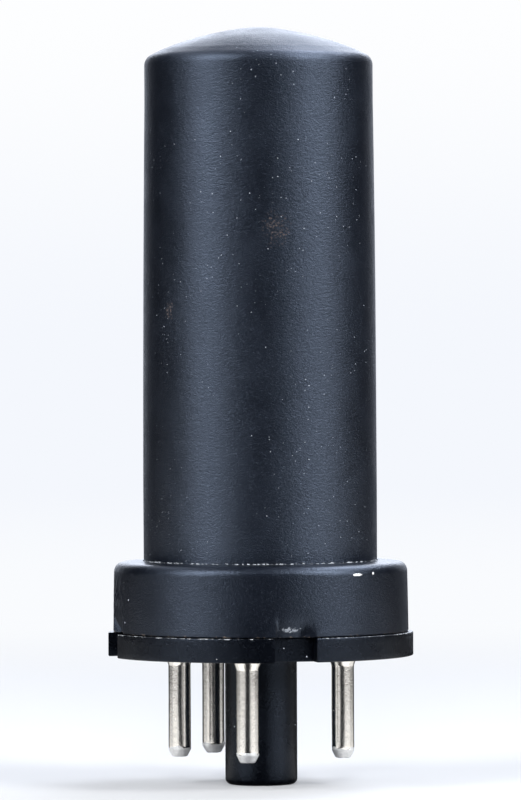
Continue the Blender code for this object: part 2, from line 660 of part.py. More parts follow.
def make_links(finish):
    """The ribbons that join the heaters to each other and the cathodes to lead 8."""
    inner = PLATE_SPACING / 2 - HEATER_PITCH / 2 + HEATER_RADIUS
    y = -(HEATER_RADIUS + FIT + RIBBON_SHEET / 2)
    low = HEATER_END + 0.2 * MM
    ribbon("heater_link", (-inner, y), (inner, y), low, low + RIBBON_WIDTH, finish)
    y = CATHODE_RADIUS + FIT + RIBBON_SHEET / 2
    reach = PLATE_SPACING / 2 + CATHODE_RADIUS / 2
    low = CATHODE_END + 0.3 * MM
    ribbon("cathode_link", (-reach, y), (reach, y), low, low + RIBBON_WIDTH, finish)


def make_heater_strap(finish):
    """The wire from heater A's outer leg across to lead 8."""
    leg = (PLATE_SPACING / 2 + HEATER_PITCH / 2, HEATER_RADIUS * 2 + FIT)
    seal = Vector(on_circle(LEAD_CIRCLE, pin_angle(8)))
    joint = (seal.x + LEAD_RADIUS + HEATER_RADIUS + FIT, seal.y)
    low = HEATER_END + 0.45 * MM
    high = CATHODE_END - LOOSE * 6
    path = [(*leg, high), (*leg, low), (*joint, low), (*joint, low + 0.7 * MM)]
    wire("heater_strap", path, HEATER_RADIUS, finish, 0.4 * MM)


def make_getter(post_finish, getter_finish):
    """The getter ribbon, from lead 1 out to a post on the insert's flange."""
    angle = pin_angle(1)
    along = Vector((math.cos(angle), math.sin(angle)))
    start = along * (LEAD_CIRCLE / 2 + LEAD_RADIUS + FIT)
    post_radius = ROD_RADIUS
    seat_radius = INSERT_RADIUS + INSERT_FLANGE / 2
    seat = PLATEAU + FIT + INSERT_WALL / 2
    centre = along * seat_radius
    end = along * (seat_radius - post_radius - FIT)
    low = seat + POST_HEIGHT / 3
    ribbon("getter_strip", tuple(start), tuple(end), low, low + RIBBON_WIDTH, getter_finish)
    post = bmesh.new()
    add_cylinder(post, tuple(centre), post_radius, seat + FIT, seat + POST_HEIGHT, 12)
    finished("getter_post", post, post_finish)


def main():
    """Clears the scene and builds every piece."""
    for obj in list(bpy.data.objects):
        bpy.data.objects.remove(obj, do_unlink=True)

    paint = material("black_paint", (0.012, 0.013, 0.016), 0.42, 0.0)
    phenolic = material("phenolic", (0.010, 0.010, 0.011), 0.35, 0.0)
    plating = material("nickel_plating", (0.72, 0.69, 0.63), 0.22, 1.0)
    solder = material("solder", (0.55, 0.55, 0.56), 0.4, 1.0)
    steel = material("header_steel", (0.42, 0.41, 0.40), 0.45, 1.0)
    alloy = material("sealing_alloy", (0.45, 0.43, 0.41), 0.4, 1.0)
    glass = material("stem_glass", (0.75, 0.85, 0.82), 0.08, 0.0)
    copper = material("lead_wire", (0.62, 0.50, 0.40), 0.35, 1.0)
    nickel = material("bright_nickel", (0.66, 0.65, 0.62), 0.3, 1.0)
    carbon = material("carbonised_plate", (0.06, 0.06, 0.065), 0.7, 0.3)
    mica = material("mica", (0.80, 0.76, 0.66), 0.3, 0.0)
    oxide = material("oxide_coating", (0.88, 0.87, 0.84), 0.9, 0.0)
    alumina = material("heater_coating", (0.92, 0.91, 0.88), 0.9, 0.0)
    barium = material("getter_coating", (0.24, 0.24, 0.25), 0.5, 0.6)

    make_shell(paint)
    make_header_skirt(paint)
    make_octal_base(phenolic)
    for number in PIN_NUMBERS:
        make_pin(number, plating)
        make_solder(number, solder)
    make_header(steel)
    make_header_insert(alloy)
    make_glass_button(glass)
    make_exhaust_tube(glass)
    make_leads(copper)
    make_plates(carbon)
    make_support_rods(nickel, nickel)
    make_mica("mica_lower", LOWER_MICA, mica)
    make_mica("mica_upper", UPPER_MICA, mica)
    make_cathodes(oxide)
    make_heaters(alumina)
    make_links(nickel)
    make_heater_strap(nickel)
    make_getter(nickel, barium)


main()
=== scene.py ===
"""Looks of a metal-shell octal rectifier tube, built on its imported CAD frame.

The painted shell and skirt, the moulded base, the pins and their solder are modelled here in full
detail. The sealed pieces inside the shell keep their CAD meshes and get their finishes here.
Everything is in metres, +Z up, with the locating key towards +Y.
"""
import json
import logging
import math
from collections.abc import Callable, Sequence
from dataclasses import dataclass, field
from enum import Enum

import bmesh
import bpy
import numpy as np
from mathutils import Matrix, Vector


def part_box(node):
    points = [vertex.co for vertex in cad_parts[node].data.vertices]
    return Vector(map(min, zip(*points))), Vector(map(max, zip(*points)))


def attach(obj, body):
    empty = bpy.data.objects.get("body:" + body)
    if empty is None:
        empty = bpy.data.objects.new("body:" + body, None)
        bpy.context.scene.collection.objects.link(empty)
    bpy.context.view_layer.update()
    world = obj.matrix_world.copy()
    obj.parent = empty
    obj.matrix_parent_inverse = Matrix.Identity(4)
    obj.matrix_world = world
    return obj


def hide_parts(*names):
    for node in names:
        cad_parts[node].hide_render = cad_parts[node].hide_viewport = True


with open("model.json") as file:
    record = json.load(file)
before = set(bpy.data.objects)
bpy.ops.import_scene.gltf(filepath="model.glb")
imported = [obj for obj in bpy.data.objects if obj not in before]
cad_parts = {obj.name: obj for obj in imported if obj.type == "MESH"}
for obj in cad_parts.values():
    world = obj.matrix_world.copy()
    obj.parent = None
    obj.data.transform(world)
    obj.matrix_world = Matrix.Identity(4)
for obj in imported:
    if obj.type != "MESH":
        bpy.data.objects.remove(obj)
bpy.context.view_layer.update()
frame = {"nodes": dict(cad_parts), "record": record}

MM = 0.001
SEAT = next(m for m in frame["record"]["mounts"] if m["name"] == "base_seat")["pos_m"][2]
VIEW_ANGLE = math.radians(-13.2)  # where the camera stands, turned from -Y towards -X
CAMERA_SIDE = math.pi * 1.5 + VIEW_ANGLE  # the same direction, from +X
PIN_NUMBERS = (1, 2, 4, 6, 8)
ON_AXIS = 1e-9  # a smaller radius, in metres, is on the axis
STRAIGHT = math.radians(89)  # half of a corner's angle, from which it isn't rounded
LOG = logging.getLogger("tube")

Point = tuple[float, float]
Colour = tuple[float, float, float]
Warp = Callable[[np.ndarray], np.ndarray]


# Shader helpers ----------------------------------------------------------------------------------

class Graph:
    """Short calls for adding and linking nodes in one node tree."""

    def __init__(self, tree: bpy.types.NodeTree) -> None:
        """Keeps the tree that the nodes go in."""
        self.tree = tree

    def add(self, kind: str, values: dict | None = None, **settings: object) -> bpy.types.Node:
        """Adds a node.

        Args:
            kind: The node's type name.
            values: Input name or index to a value, or to an output socket that is linked in.
            **settings: Properties of the node itself.

        Returns:
            The new node.
        """
        node = self.tree.nodes.new(kind)
        for name, value in settings.items():
            setattr(node, name, value)
        for key, value in (values or {}).items():
            if isinstance(value, bpy.types.NodeSocket):
                self.tree.links.new(value, node.inputs[key])
            else:
                node.inputs[key].default_value = value
        return node

    def math(self, operation: str, *terms: object, clamp: bool = False) -> bpy.types.NodeSocket:
        """Adds a Math node and returns its result."""
        values = dict(enumerate(terms))
        return self.add("ShaderNodeMath", values, operation=operation, use_clamp=clamp).outputs[0]

    def vector(self, operation: str, *terms: object) -> bpy.types.Node:
        """Adds a Vector Math node."""
        return self.add("ShaderNodeVectorMath", dict(enumerate(terms)), operation=operation)

    def ramp(self, value: object, low: object, high: object, top: float = 1.0) -> bpy.types.NodeSocket:
        """Returns a smooth rise from 0 to the top as a value goes from low to high."""
        values = {"Value": value, "From Min": low, "From Max": high, "To Max": top}
        node = self.add("ShaderNodeMapRange", values, interpolation_type="SMOOTHSTEP")
        return node.outputs["Result"]

    def mix(self, share: object, first: object, second: object) -> bpy.types.NodeSocket:
        """Returns a mix of two colours."""
        node = self.add("ShaderNodeMix", data_type="RGBA")
        sockets = (node.inputs[0], node.inputs[6], node.inputs[7])
        for socket, value in zip(sockets, (share, first, second)):
            if isinstance(value, bpy.types.NodeSocket):
                self.tree.links.new(value, socket)
            else:
                socket.default_value = (*value, 1.0) if isinstance(value, tuple) else value
        return node.outputs[2]


class Group(Graph):
    """A shader node group that turns a position and some numbers into one number."""

    def __init__(self, name: str, output: str, **inputs: object) -> None:
        """Starts the group with its sockets.

        Args:
            name: The group's name.
            output: The name of its number output.
            **inputs: Name, in lower case, and default of each input after the position.
        """
        super().__init__(bpy.data.node_groups.new(name, "ShaderNodeTree"))
        for label, value in {"position": (0.0, 0.0, 0.0), **inputs}.items():
            kind = "NodeSocketVector" if isinstance(value, tuple) else "NodeSocketFloat"
            socket = self.tree.interface.new_socket(label.capitalize(), in_out="INPUT", socket_type=kind)
            socket.default_value = value
        self.tree.interface.new_socket(output, in_out="OUTPUT", socket_type="NodeSocketFloat")
        self.given = self.add("NodeGroupInput").outputs
        self.place = self.given["Position"]
        self.out = self.add("NodeGroupOutput")

    def noise(self, scale: object, detail: float = 2.0, **more: object) -> bpy.types.Node:
        """Adds a noise texture at the given position, or at another Vector."""
        values = {"Vector": self.place, "Scale": scale, "Detail": detail, **more}
        return self.add("ShaderNodeTexNoise", values)

    def give(self, value: bpy.types.NodeSocket) -> bpy.types.NodeTree:
        """Sends a value to the output and returns the finished tree."""
        self.tree.links.new(value, self.out.inputs[0])
        return self.tree


class Effect(Enum):
    """The shared surface effects, each one node group."""

    GRAIN = "drawn_grain"
    SPECKS = "dust_specks"
    SPOT = "ragged_spot"
    MOTTLE = "mottle"
    BAND = "height_band"


class Effects:
    """Builds each shared effect once and places it in materials."""

    def __init__(self) -> None:
        """Builds every group."""
        self.trees = {
            Effect.GRAIN: self._grain(),
            Effect.SPECKS: self._specks(),
            Effect.SPOT: self._spot(),
            Effect.MOTTLE: self._mottle(),
            Effect.BAND: self._band(),
        }

    def place(self, graph: Graph, effect: Effect, **values: object) -> bpy.types.NodeSocket:
        """Places an effect in a material with its own values.

        Args:
            graph: The material's graph.
            effect: Which effect.
            **values: Input names, with underscores for spaces, and their values or sockets.

        Returns:
            The effect's output.
        """
        node = graph.add("ShaderNodeGroup")
        node.node_tree = self.trees[effect]
        for key, value in values.items():
            socket = node.inputs[key.replace("_", " ").capitalize()]
            if isinstance(value, bpy.types.NodeSocket):
                graph.tree.links.new(value, socket)
            else:
                socket.default_value = value
        return node.outputs[0]

    @staticmethod
    def _grain() -> bpy.types.NodeTree:
        """Fine ripples drawn out along the horizontal, as on sprayed and baked paint."""
        group = Group("drawn_grain", "Height", across=2600.0, upwards=9000.0)
        across = group.given["Across"]
        stretch = group.add("ShaderNodeCombineXYZ", {0: across, 1: across, 2: group.given["Upwards"]})
        place = group.vector("MULTIPLY", group.place, stretch.outputs[0]).outputs[0]
        fine = group.noise(1.0, Vector=place, Distortion=0.6)
        coarse = group.noise(0.37, 1.0, Vector=place)
        return group.give(group.math("MULTIPLY_ADD", coarse.outputs[0], 0.5, fine.outputs[0]))

    @staticmethod
    def _specks() -> bpy.types.NodeTree:
        """Scattered specks of dust, some round and some drawn out, thicker in clouds."""
        group = Group("dust_specks", "Mask", spacing=0.0009, size=0.16, share=0.12, cloud=120.0)
        scale = group.math("DIVIDE", 1.0, group.given["Spacing"])
        push = group.vector("SCALE", group.noise(5200.0).outputs["Color"])
        push.inputs["Scale"].default_value = 0.00011
        place = group.vector("ADD", group.place, push.outputs[0]).outputs[0]
        cells = group.add("ShaderNodeTexVoronoi", {"Vector": place, "Scale": scale})
        colour = group.add("ShaderNodeSeparateColor", {0: cells.outputs["Color"]})
        cloud = group.noise(group.given["Cloud"], 1.0).outputs[0]
        share = group.math("MULTIPLY", group.given["Share"], group.ramp(cloud, 0.35, 0.7))
        kept = group.math("LESS_THAN", colour.outputs[0], share)
        size = group.math("MULTIPLY", group.given["Size"], group.math("ADD", colour.outputs[1], 0.35))
        near = group.math("LESS_THAN", cells.outputs["Distance"], size)
        return group.give(group.math("MULTIPLY", kept, near))

    @staticmethod
    def _spot() -> bpy.types.NodeTree:
        """A patch with a ragged edge round one place on the surface."""
        reach = (0.002, 0.002, 0.002)
        group = Group("ragged_spot", "Mask", centre=(0.0, 0.0, 0.0), reach=reach, grain=2500.0, cover=0.5)
        off = group.vector("SUBTRACT", group.place, group.given["Centre"]).outputs[0]
        off = group.vector("DIVIDE", off, group.given["Reach"]).outputs[0]
        far = group.vector("LENGTH", off).outputs["Value"]
        noise = group.noise(group.given["Grain"], 4.0, Roughness=0.65).outputs[0]
        body = group.math("SUBTRACT", 1.0, group.ramp(far, 0.2, 1.0))
        level = group.math("MULTIPLY_ADD", body, group.given["Cover"], noise)
        inside = group.math("LESS_THAN", far, 1.0)
        return group.give(group.math("MULTIPLY", group.ramp(level, 0.72, 0.84), inside))

    @staticmethod
    def _mottle() -> bpy.types.NodeTree:
        """Slow, soft variation, as a number round 0."""
        group = Group("mottle", "Value", scale=300.0, strength=0.1)
        off = group.math("SUBTRACT", group.noise(group.given["Scale"], 5.0).outputs[0], 0.5)
        return group.give(group.math("MULTIPLY", off, group.given["Strength"]))

    @staticmethod
    def _band() -> bpy.types.NodeTree:
        """A thin band at one height, broken up along its length and kept outside a radius."""
        group = Group("height_band", "Mask", height=0.0, half=0.0002, inside=0.0, grain=3000.0, cover=0.5)
        height = group.add("ShaderNodeSeparateXYZ", {0: group.place}).outputs[2]
        flat = group.vector("MULTIPLY", group.place, (1.0, 1.0, 0.0)).outputs[0]
        radius = group.vector("LENGTH", flat).outputs["Value"]
        outer = group.math("GREATER_THAN", radius, group.given["Inside"])
        off = group.math("ABSOLUTE", group.math("SUBTRACT", height, group.given["Height"]))
        near = group.math("SUBTRACT", 1.0, group.math("DIVIDE", off, group.given["Half"]), clamp=True)
        noise = group.noise(group.given["Grain"], 3.0).outputs[0]
        level = group.math("MULTIPLY_ADD", near, group.given["Cover"], noise)
        mask = group.math("MULTIPLY", group.ramp(level, 0.68, 0.78), group.math("GREATER_THAN", near, 0.0))
        return group.give(group.math("MULTIPLY", mask, outer))


# Finishes ----------------------------------------------------------------------------------------

@dataclass(frozen=True)
class Patch:
    """A local mark on an upright wall. Its lengths are in millimetres."""

    radius: float  # distance from the axis
    aside: float  # degrees to the right of the middle of the front view
    height: float  # above the seat
    wide: float
    tall: float
    colour: Colour
    roughness: float
    cover: float
    grain: float

    def centre(self) -> tuple[float, float, float]:
        """Its middle, in metres."""
        angle = CAMERA_SIDE + math.radians(self.aside)
        radius = self.radius * MM
        return (radius * math.cos(angle), radius * math.sin(angle), SEAT + self.height * MM)

    def reach(self) -> tuple[float, float, float]:
        """How far it goes along X, Y and Z, in metres."""
        return (self.wide * MM, self.wide * MM, self.tall * MM)


@dataclass(frozen=True)
class Finish:
    """A surface finish and the numbers that make it."""

    name: str
    colour: Colour
    roughness: float
    metallic: float = 0.0
    specular: float = 0.5
    tint: Colour = (1.0, 1.0, 1.0)
    grain_height: float = 0.0
    grain_across: float = 2600.0
    grain_upwards: float = 9000.0
    # Colour of a painted highlight on the ridges of the grain. Its share runs from the first value low on the
    # tube to the second higher up.
    ridge_highlight: Colour | None = None
    ridge_highlight_share: tuple[float, float] = (1.0, 1.0)
    mottle: float = 0.0
    mottle_scale: float = 400.0
    dust: float = 0.0
    dust_spacing: float = 0.0009
    dust_size: float = 0.16
    dust_colour: Colour = (0.62, 0.66, 0.72)
    transmission: float = 0.0
    patches: tuple[Patch, ...] = ()

    def build(self, effects: Effects) -> bpy.types.Material:
        """Makes the material.

        Args:
            effects: The shared node groups.

        Returns:
            The material, with its nodes linked.
        """
        made = bpy.data.materials.new(self.name)
        made.use_nodes = True
        graph = Graph(made.node_tree)
        shader = made.node_tree.nodes["Principled BSDF"]
        shader.inputs["Metallic"].default_value = self.metallic
        shader.inputs["Specular IOR Level"].default_value = self.specular
        shader.inputs["Specular Tint"].default_value = (*self.tint, 1.0)
        shader.inputs["Transmission Weight"].default_value = self.transmission
        place = graph.add("ShaderNodeTexCoord").outputs["Object"]
        mottle = effects.place(graph, Effect.MOTTLE, position=place, scale=self.mottle_scale, strength=1.0)
        share = graph.math("MULTIPLY_ADD", mottle, self.mottle, 0.5, clamp=True)
        darker = tuple(c * 0.55 for c in self.colour)
        lighter = tuple(min(1.0, c * 1.45) for c in self.colour)
        colour = graph.mix(share, darker, lighter)
        rough = graph.math("MULTIPLY_ADD", mottle, self.mottle * 0.5, self.roughness, clamp=True)
        if self.grain_height:
            grain = effects.place(
                graph, Effect.GRAIN, position=place, across=self.grain_across, upwards=self.grain_upwards
            )
            # The ridges of the grain are made lighter: a painted highlight, as if the ridges catch the light.
            if self.ridge_highlight:
                height = graph.add("ShaderNodeSeparateXYZ", {0: place}).outputs[2]
                upper = graph.ramp(height, 0.040, 0.062)
                low, high = self.ridge_highlight_share
                amount = graph.math("MULTIPLY_ADD", upper, high - low, low)
                amount = graph.math("MULTIPLY", graph.ramp(grain, 0.80, 1.08), amount)
                colour = graph.mix(amount, colour, self.ridge_highlight)
        for patch in self.patches:
            spot = effects.place(
                graph, Effect.SPOT, position=place, centre=patch.centre(), reach=patch.reach(),
                grain=patch.grain, cover=patch.cover,
            )
            colour = graph.mix(spot, colour, patch.colour)
            rough = self._blend(graph, spot, rough, patch.roughness)
        colour, rough = self.details(graph, effects, place, colour, rough)
        if self.dust:
            specks = effects.place(
                graph, Effect.SPECKS, position=place, spacing=self.dust_spacing, size=self.dust_size,
                share=self.dust,
            )
            colour = graph.mix(specks, colour, self.dust_colour)
            rough = self._blend(graph, specks, rough, 0.9)
        graph.tree.links.new(colour, shader.inputs["Base Color"])
        graph.tree.links.new(rough, shader.inputs["Roughness"])
        if self.grain_height:
            bump = graph.add("ShaderNodeBump", {
                "Height": grain, "Distance": self.grain_height, "Strength": 1.0,
            })
            graph.tree.links.new(bump.outputs[0], shader.inputs["Normal"])
        return made

    def details(
        self, graph: Graph, effects: Effects, place: bpy.types.NodeSocket,
        colour: bpy.types.NodeSocket, rough: bpy.types.NodeSocket,
    ) -> tuple[bpy.types.NodeSocket, bpy.types.NodeSocket]:
        """Adds what only this finish has; a plain finish has nothing more."""
        return colour, rough

    @staticmethod
    def _blend(graph: Graph, share: object, first: object, second: object) -> bpy.types.NodeSocket:
        """Returns a mix of two numbers."""
        node = graph.add("ShaderNodeMix", {0: share, 2: first, 3: second}, data_type="FLOAT")
        return node.outputs[0]


@dataclass(frozen=True)
class BandedFinish(Finish):
    """A finish with a broken line of dirt at one height."""

    band_height: float = 0.0
    band_half: float = 0.0002
    band_inside: float = 0.0  # radius that the line keeps outside of
    band_colour: Colour = (0.7, 0.72, 0.74)
    band_cover: float = 0.5
    band_grain: float = 3000.0

    def details(
        self, graph: Graph, effects: Effects, place: bpy.types.NodeSocket,
        colour: bpy.types.NodeSocket, rough: bpy.types.NodeSocket,
    ) -> tuple[bpy.types.NodeSocket, bpy.types.NodeSocket]:
        """Adds the line."""
        band = effects.place(
            graph, Effect.BAND, position=place, height=self.band_height, half=self.band_half,
            inside=self.band_inside, grain=self.band_grain, cover=self.band_cover,
        )
        return graph.mix(band, colour, self.band_colour), self._blend(graph, band, rough, 0.85)


# Mesh helpers ------------------------------------------------------------------------------------

def rounded(corners: Sequence[tuple[float, ...]], points: int = 6) -> list[Point]:
    """An outline whose corners are rounded.

    Args:
        corners: (r, z) or (r, z, radius) points, in millimetres, z from the seat up.
        points: How many segments each rounded corner has.

    Returns:
        The dense outline, in metres.
    """
    path: list[Point] = []
    last = len(corners) - 1

    def keep(point: Vector) -> None:
        """Adds a point in metres."""
        path.append((point.x * MM, SEAT + point.y * MM))

    for i, corner in enumerate(corners):
        here = Vector(corner[:2])
        radius = corner[2] if len(corner) > 2 else 0.0
        if radius == 0.0 or i in (0, last):
            keep(here)
            continue
        back = Vector(corners[i - 1][:2]) - here
        ahead = Vector(corners[i + 1][:2]) - here
        half = back.angle(ahead) / 2
        if half > STRAIGHT:
            keep(here)
            continue
        reach = min(radius / math.tan(half), back.length * 0.49, ahead.length * 0.49)
        radius = reach * math.tan(half)
        start, end = here + back.normalized() * reach, here + ahead.normalized() * reach
        middle = here + (back.normalized() + ahead.normalized()).normalized() * (radius / math.sin(half))
        first, second = start - middle, end - middle
        sweep = first.angle(second)
        for j in range(points + 1):
            share = j / points
            turned = first * math.sin((1 - share) * sweep) + second * math.sin(share * sweep)
            keep(middle + turned / math.sin(sweep))
    return path


def densified(outline: Sequence[Point], longest: float) -> list[Point]:
    """The same outline with no segment longer than the given length."""
    path = [outline[0]]
    for before, after in zip(outline, outline[1:]):
        count = max(1, math.ceil(math.dist(before, after) / longest))
        for j in range(1, count + 1):
            share = j / count
            path.append(tuple(a + (b - a) * share for a, b in zip(before, after)))
    return path


def new_object(name: str, data: bpy.types.ID) -> bpy.types.Object:
    """Makes an object and links it to the scene."""
    made = bpy.data.objects.new(name, data)
    bpy.context.scene.collection.objects.link(made)
    return made


def mesh_object(name: str, points: np.ndarray, faces: list[tuple[int, ...]]) -> bpy.types.Object:
    """Makes an object from points and faces, its faces pointing out.

    Args:
        name: The piece's name.
        points: (n, 3) array in metres.
        faces: Vertex indices of each face.

    Returns:
        The new object, linked to the scene and smooth up to 32 degrees.
    """
    mesh = bpy.data.meshes.new(name)
    mesh.from_pydata(points.tolist(), [], faces)
    bm = bmesh.new()
    bm.from_mesh(mesh)
    bmesh.ops.remove_doubles(bm, verts=bm.verts, dist=1e-7)
    bmesh.ops.recalc_face_normals(bm, faces=bm.faces)
    bm.to_mesh(mesh)
    bm.free()
    made = new_object(name, mesh)
    smooth(made)
    return made


def smooth(piece: bpy.types.Object, degrees: float = 32.0) -> None:
    """Smooths a piece's faces and keeps its sharp edges."""
    piece.data.shade_smooth()
    piece.data.set_sharp_from_angle(angle=math.radians(degrees))


def lathe(
    name: str, outline: Sequence[Point], steps: int, warp: Warp | None = None,
    at: tuple[float, float] = (0.0, 0.0),
) -> bpy.types.Object:
    """Turns an outline round an upright axis.

    Args:
        name: The piece's name.
        outline: (r, z) points. It closes on the axis, or on itself where both ends are off it.
        steps: How many columns go round.
        warp: Moves the (n, 3) points before the mesh is made.
        at: The axis's place in plan.

    Returns:
        The turned piece.
    """
    profile = np.array(outline)
    angles = np.arange(steps) * math.tau / steps
    r, z = profile[:, 0], profile[:, 1]
    points = np.stack([
        np.outer(np.cos(angles), r), np.outer(np.sin(angles), r), np.broadcast_to(z, (steps, len(z))),
    ], axis=-1).reshape(-1, 3)
    if warp:
        points = warp(points)
    points[:, 0] += at[0]
    points[:, 1] += at[1]
    rows = len(profile)
    open_ends = outline[0][0] < ON_AXIS and outline[-1][0] < ON_AXIS
    spans = range(rows - 1) if open_ends else range(rows)
    faces = []
    for i in range(steps):
        here, there = i * rows, (i + 1) % steps * rows
        for j in spans:
            k = (j + 1) % rows
            corners = [here + j, here + k, there + k, there + j]
            if r[j] < ON_AXIS:
                corners = [here + j, here + k, there + k]
            elif r[k] < ON_AXIS:
                corners = [here + j, here + k, there + j]
            faces.append(tuple(corners))
    return mesh_object(name, points, faces)


def stacked(name: str, rings: Sequence[np.ndarray]) -> bpy.types.Object:
    """Joins rings of equal length into one closed body; the first and last are capped.

    Args:
        name: The piece's name.
        rings: (n, 3) arrays, from one end to the other.

    Returns:
        The closed piece.
    """
    count = len(rings[0])
    points = np.concatenate(rings)
    faces: list[tuple[int, ...]] = []
    for level in range(len(rings) - 1):
        for i in range(count):
            k = (i + 1) % count
            a, b = level * count, (level + 1) * count
            faces.append((a + i, a + k, b + k, b + i))
    top = (len(rings) - 1) * count
    faces += [tuple(range(count)), tuple(range(top, top + count))]
    return mesh_object(name, points, faces)


def cut(piece: bpy.types.Object, other: bpy.types.Object, operation: str) -> None:
    """Applies an exact Boolean and removes the other shape.

    Args:
        piece: The piece that stays.
        other: The shape that is joined to it or cut from it.
        operation: UNION or DIFFERENCE.
    """
    step = piece.modifiers.new("cut", "BOOLEAN")
    step.object, step.operation, step.solver = other, operation, "EXACT"
    apply_modifiers(piece)
    bpy.data.objects.remove(other, do_unlink=True)


def apply_modifiers(piece: bpy.types.Object) -> None:
    """Bakes a piece's modifiers into its mesh."""
    graph = bpy.context.evaluated_depsgraph_get()
    mesh = bpy.data.meshes.new_from_object(
        piece.evaluated_get(graph), preserve_all_data_layers=True, depsgraph=graph
    )
    piece.modifiers.clear()
    piece.data = mesh


def weigh_normals(piece: bpy.types.Object) -> None:
    """Keeps flat faces flat where they meet a rounded edge."""
    step = piece.modifiers.new("normals", "WEIGHTED_NORMAL")
    step.keep_sharp = True
    step.weight = 80
    apply_modifiers(piece)


def ripple(points: np.ndarray, waves: Sequence[tuple[float, float, float, float]]) -> np.ndarray:
    """A sum of slow waves over the surface.

    Args:
        points: (n, 3) points.
        waves: Turns round, waves per metre upwards, phase and height of each wave.

    Returns:
        The height at each point, in metres.
    """
    angle = np.arctan2(points[:, 1], points[:, 0])
    total = np.zeros(len(points))
    for turns, upwards, phase, height in waves:
        total += height * np.sin(turns * angle + upwards * points[:, 2] * math.tau + phase)
    return total


def push_out(points: np.ndarray, amount: np.ndarray) -> np.ndarray:
    """Moves points away from the Z axis by an amount each."""
    moved = points.copy()
    reach = np.maximum(np.hypot(points[:, 0], points[:, 1]), ON_AXIS)
    moved[:, 0] += points[:, 0] / reach * amount
    moved[:, 1] += points[:, 1] / reach * amount
    return moved


def dress(piece: bpy.types.Object, finish: bpy.types.Material, slot: str, *nodes: str) -> None:
    """Finishes a piece, makes it ride with the tube and stand for its CAD nodes.

    Args:
        piece: The new piece.
        finish: Its material.
        slot: The record's material slot; not used.
        *nodes: The CAD nodes it replaces.
    """
    piece.data.materials.clear()
    piece.data.materials.append(finish)
    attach(piece, "root")
    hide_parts(*nodes)
    LOG.info("%s: %d faces, for %s", piece.name, len(piece.data.polygons), ", ".join(nodes))


# Envelope ----------------------------------------------------------------------------------------

@dataclass
class Shell:
    """The drawn steel shell, painted satin black."""

    wall: float = 0.6
    fall: float = 26.0  # slope of the dome at its edge, in degrees
    corner: float = 1.9
    foot_radius: float = 12.3
    hidden_radius: float = 12.38  # of the wall inside the skirt
    dome_steps: int = 30
    steps: int = 256
    dome_drops: tuple[Point, ...] = (  # radius, and how far the dome has dropped there
        (0.0, 0.17), (0.9, 0.20), (2.4, 0.38), (4.1, 0.70), (5.8, 1.09), (6.8, 1.34), (8.45, 1.87),
        (9.3, 2.18), (10.2, 2.56), (10.6, 2.74),
    )
    wall_radii: tuple[Point, ...] = (  # height above the seat, and radius there
        (58.1, 12.05), (54.4, 12.10), (47.0, 12.17), (39.6, 12.23), (31.0, 12.27), (24.8, 12.29),
        (17.4, 12.31), (11.0, 12.30),
    )

    def outline(self) -> list[Point]:
        """The section, from the top of the dome down the outside and back up the inside."""
        low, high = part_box("shell")
        apex = (high.z - SEAT) / MM
        foot = (low.z - SEAT) / MM
        flange = high.x / MM
        skirt_top = (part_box("header_skirt")[1].z - SEAT) / MM
        shoulder = self.wall_radii[0][1]
        radii, drops = zip(*self.dome_drops)
        dome = [(r, apex - np.interp(r, radii, drops)) for r in np.linspace(0, radii[-1], self.dome_steps)]
        # A running mean takes the kinks out of the dome and leaves its two ends in place.
        evened = np.convolve(np.pad([z for _, z in dome], 2, mode="edge"), np.ones(5) / 5, mode="valid")
        dome = dome[:1] + [(r, z) for (r, _), z in zip(dome[1:-1], evened[1:-1])] + dome[-1:]
        rim = dome[-1][1] - (shoulder - radii[-1]) * math.tan(math.radians(self.fall))
        outer = dome + [(shoulder, rim, self.corner)]
        outer += [(r, z) for z, r in self.wall_radii]
        outer += [(self.foot_radius, skirt_top + 0.3), (self.foot_radius, skirt_top - 0.15)]
        outer += [(self.hidden_radius, skirt_top - 0.15), (self.hidden_radius, foot + self.wall + 0.4, 0.05)]
        outer += [(self.hidden_radius, foot + self.wall, 0.2)]
        outer += [(flange, foot + self.wall, 0.1), (flange, foot, 0.1)]
        inner = [(self.foot_radius - self.wall, foot, 0.2), (shoulder - self.wall, rim - self.wall, 0.8)]
        inner += [(r, z - self.wall) for r, z in reversed(dome[:-1])]
        return rounded(outer + inner, 8)

    def warp(self, points: np.ndarray) -> np.ndarray:
        """Puts the slow unevenness of a drawn and handled shell into its wall."""
        amount = ripple(points, [(2, 9, 0.4, 1.2e-5), (3, -14, 2.0, 0.8e-5), (5, 22, 1.1, 0.5e-5)])
        side = np.clip((np.hypot(points[:, 0], points[:, 1]) - 0.009) / 0.003, 0, 1)
        return push_out(points, amount * side)

    def build(self, finish: bpy.types.Material) -> bpy.types.Object:
        """Makes the shell."""
        outline = densified(self.outline(), 0.7 * MM)
        piece = lathe("drawn_shell", outline, self.steps, self.warp)
        dress(piece, finish, "black_paint", "shell")
        return piece


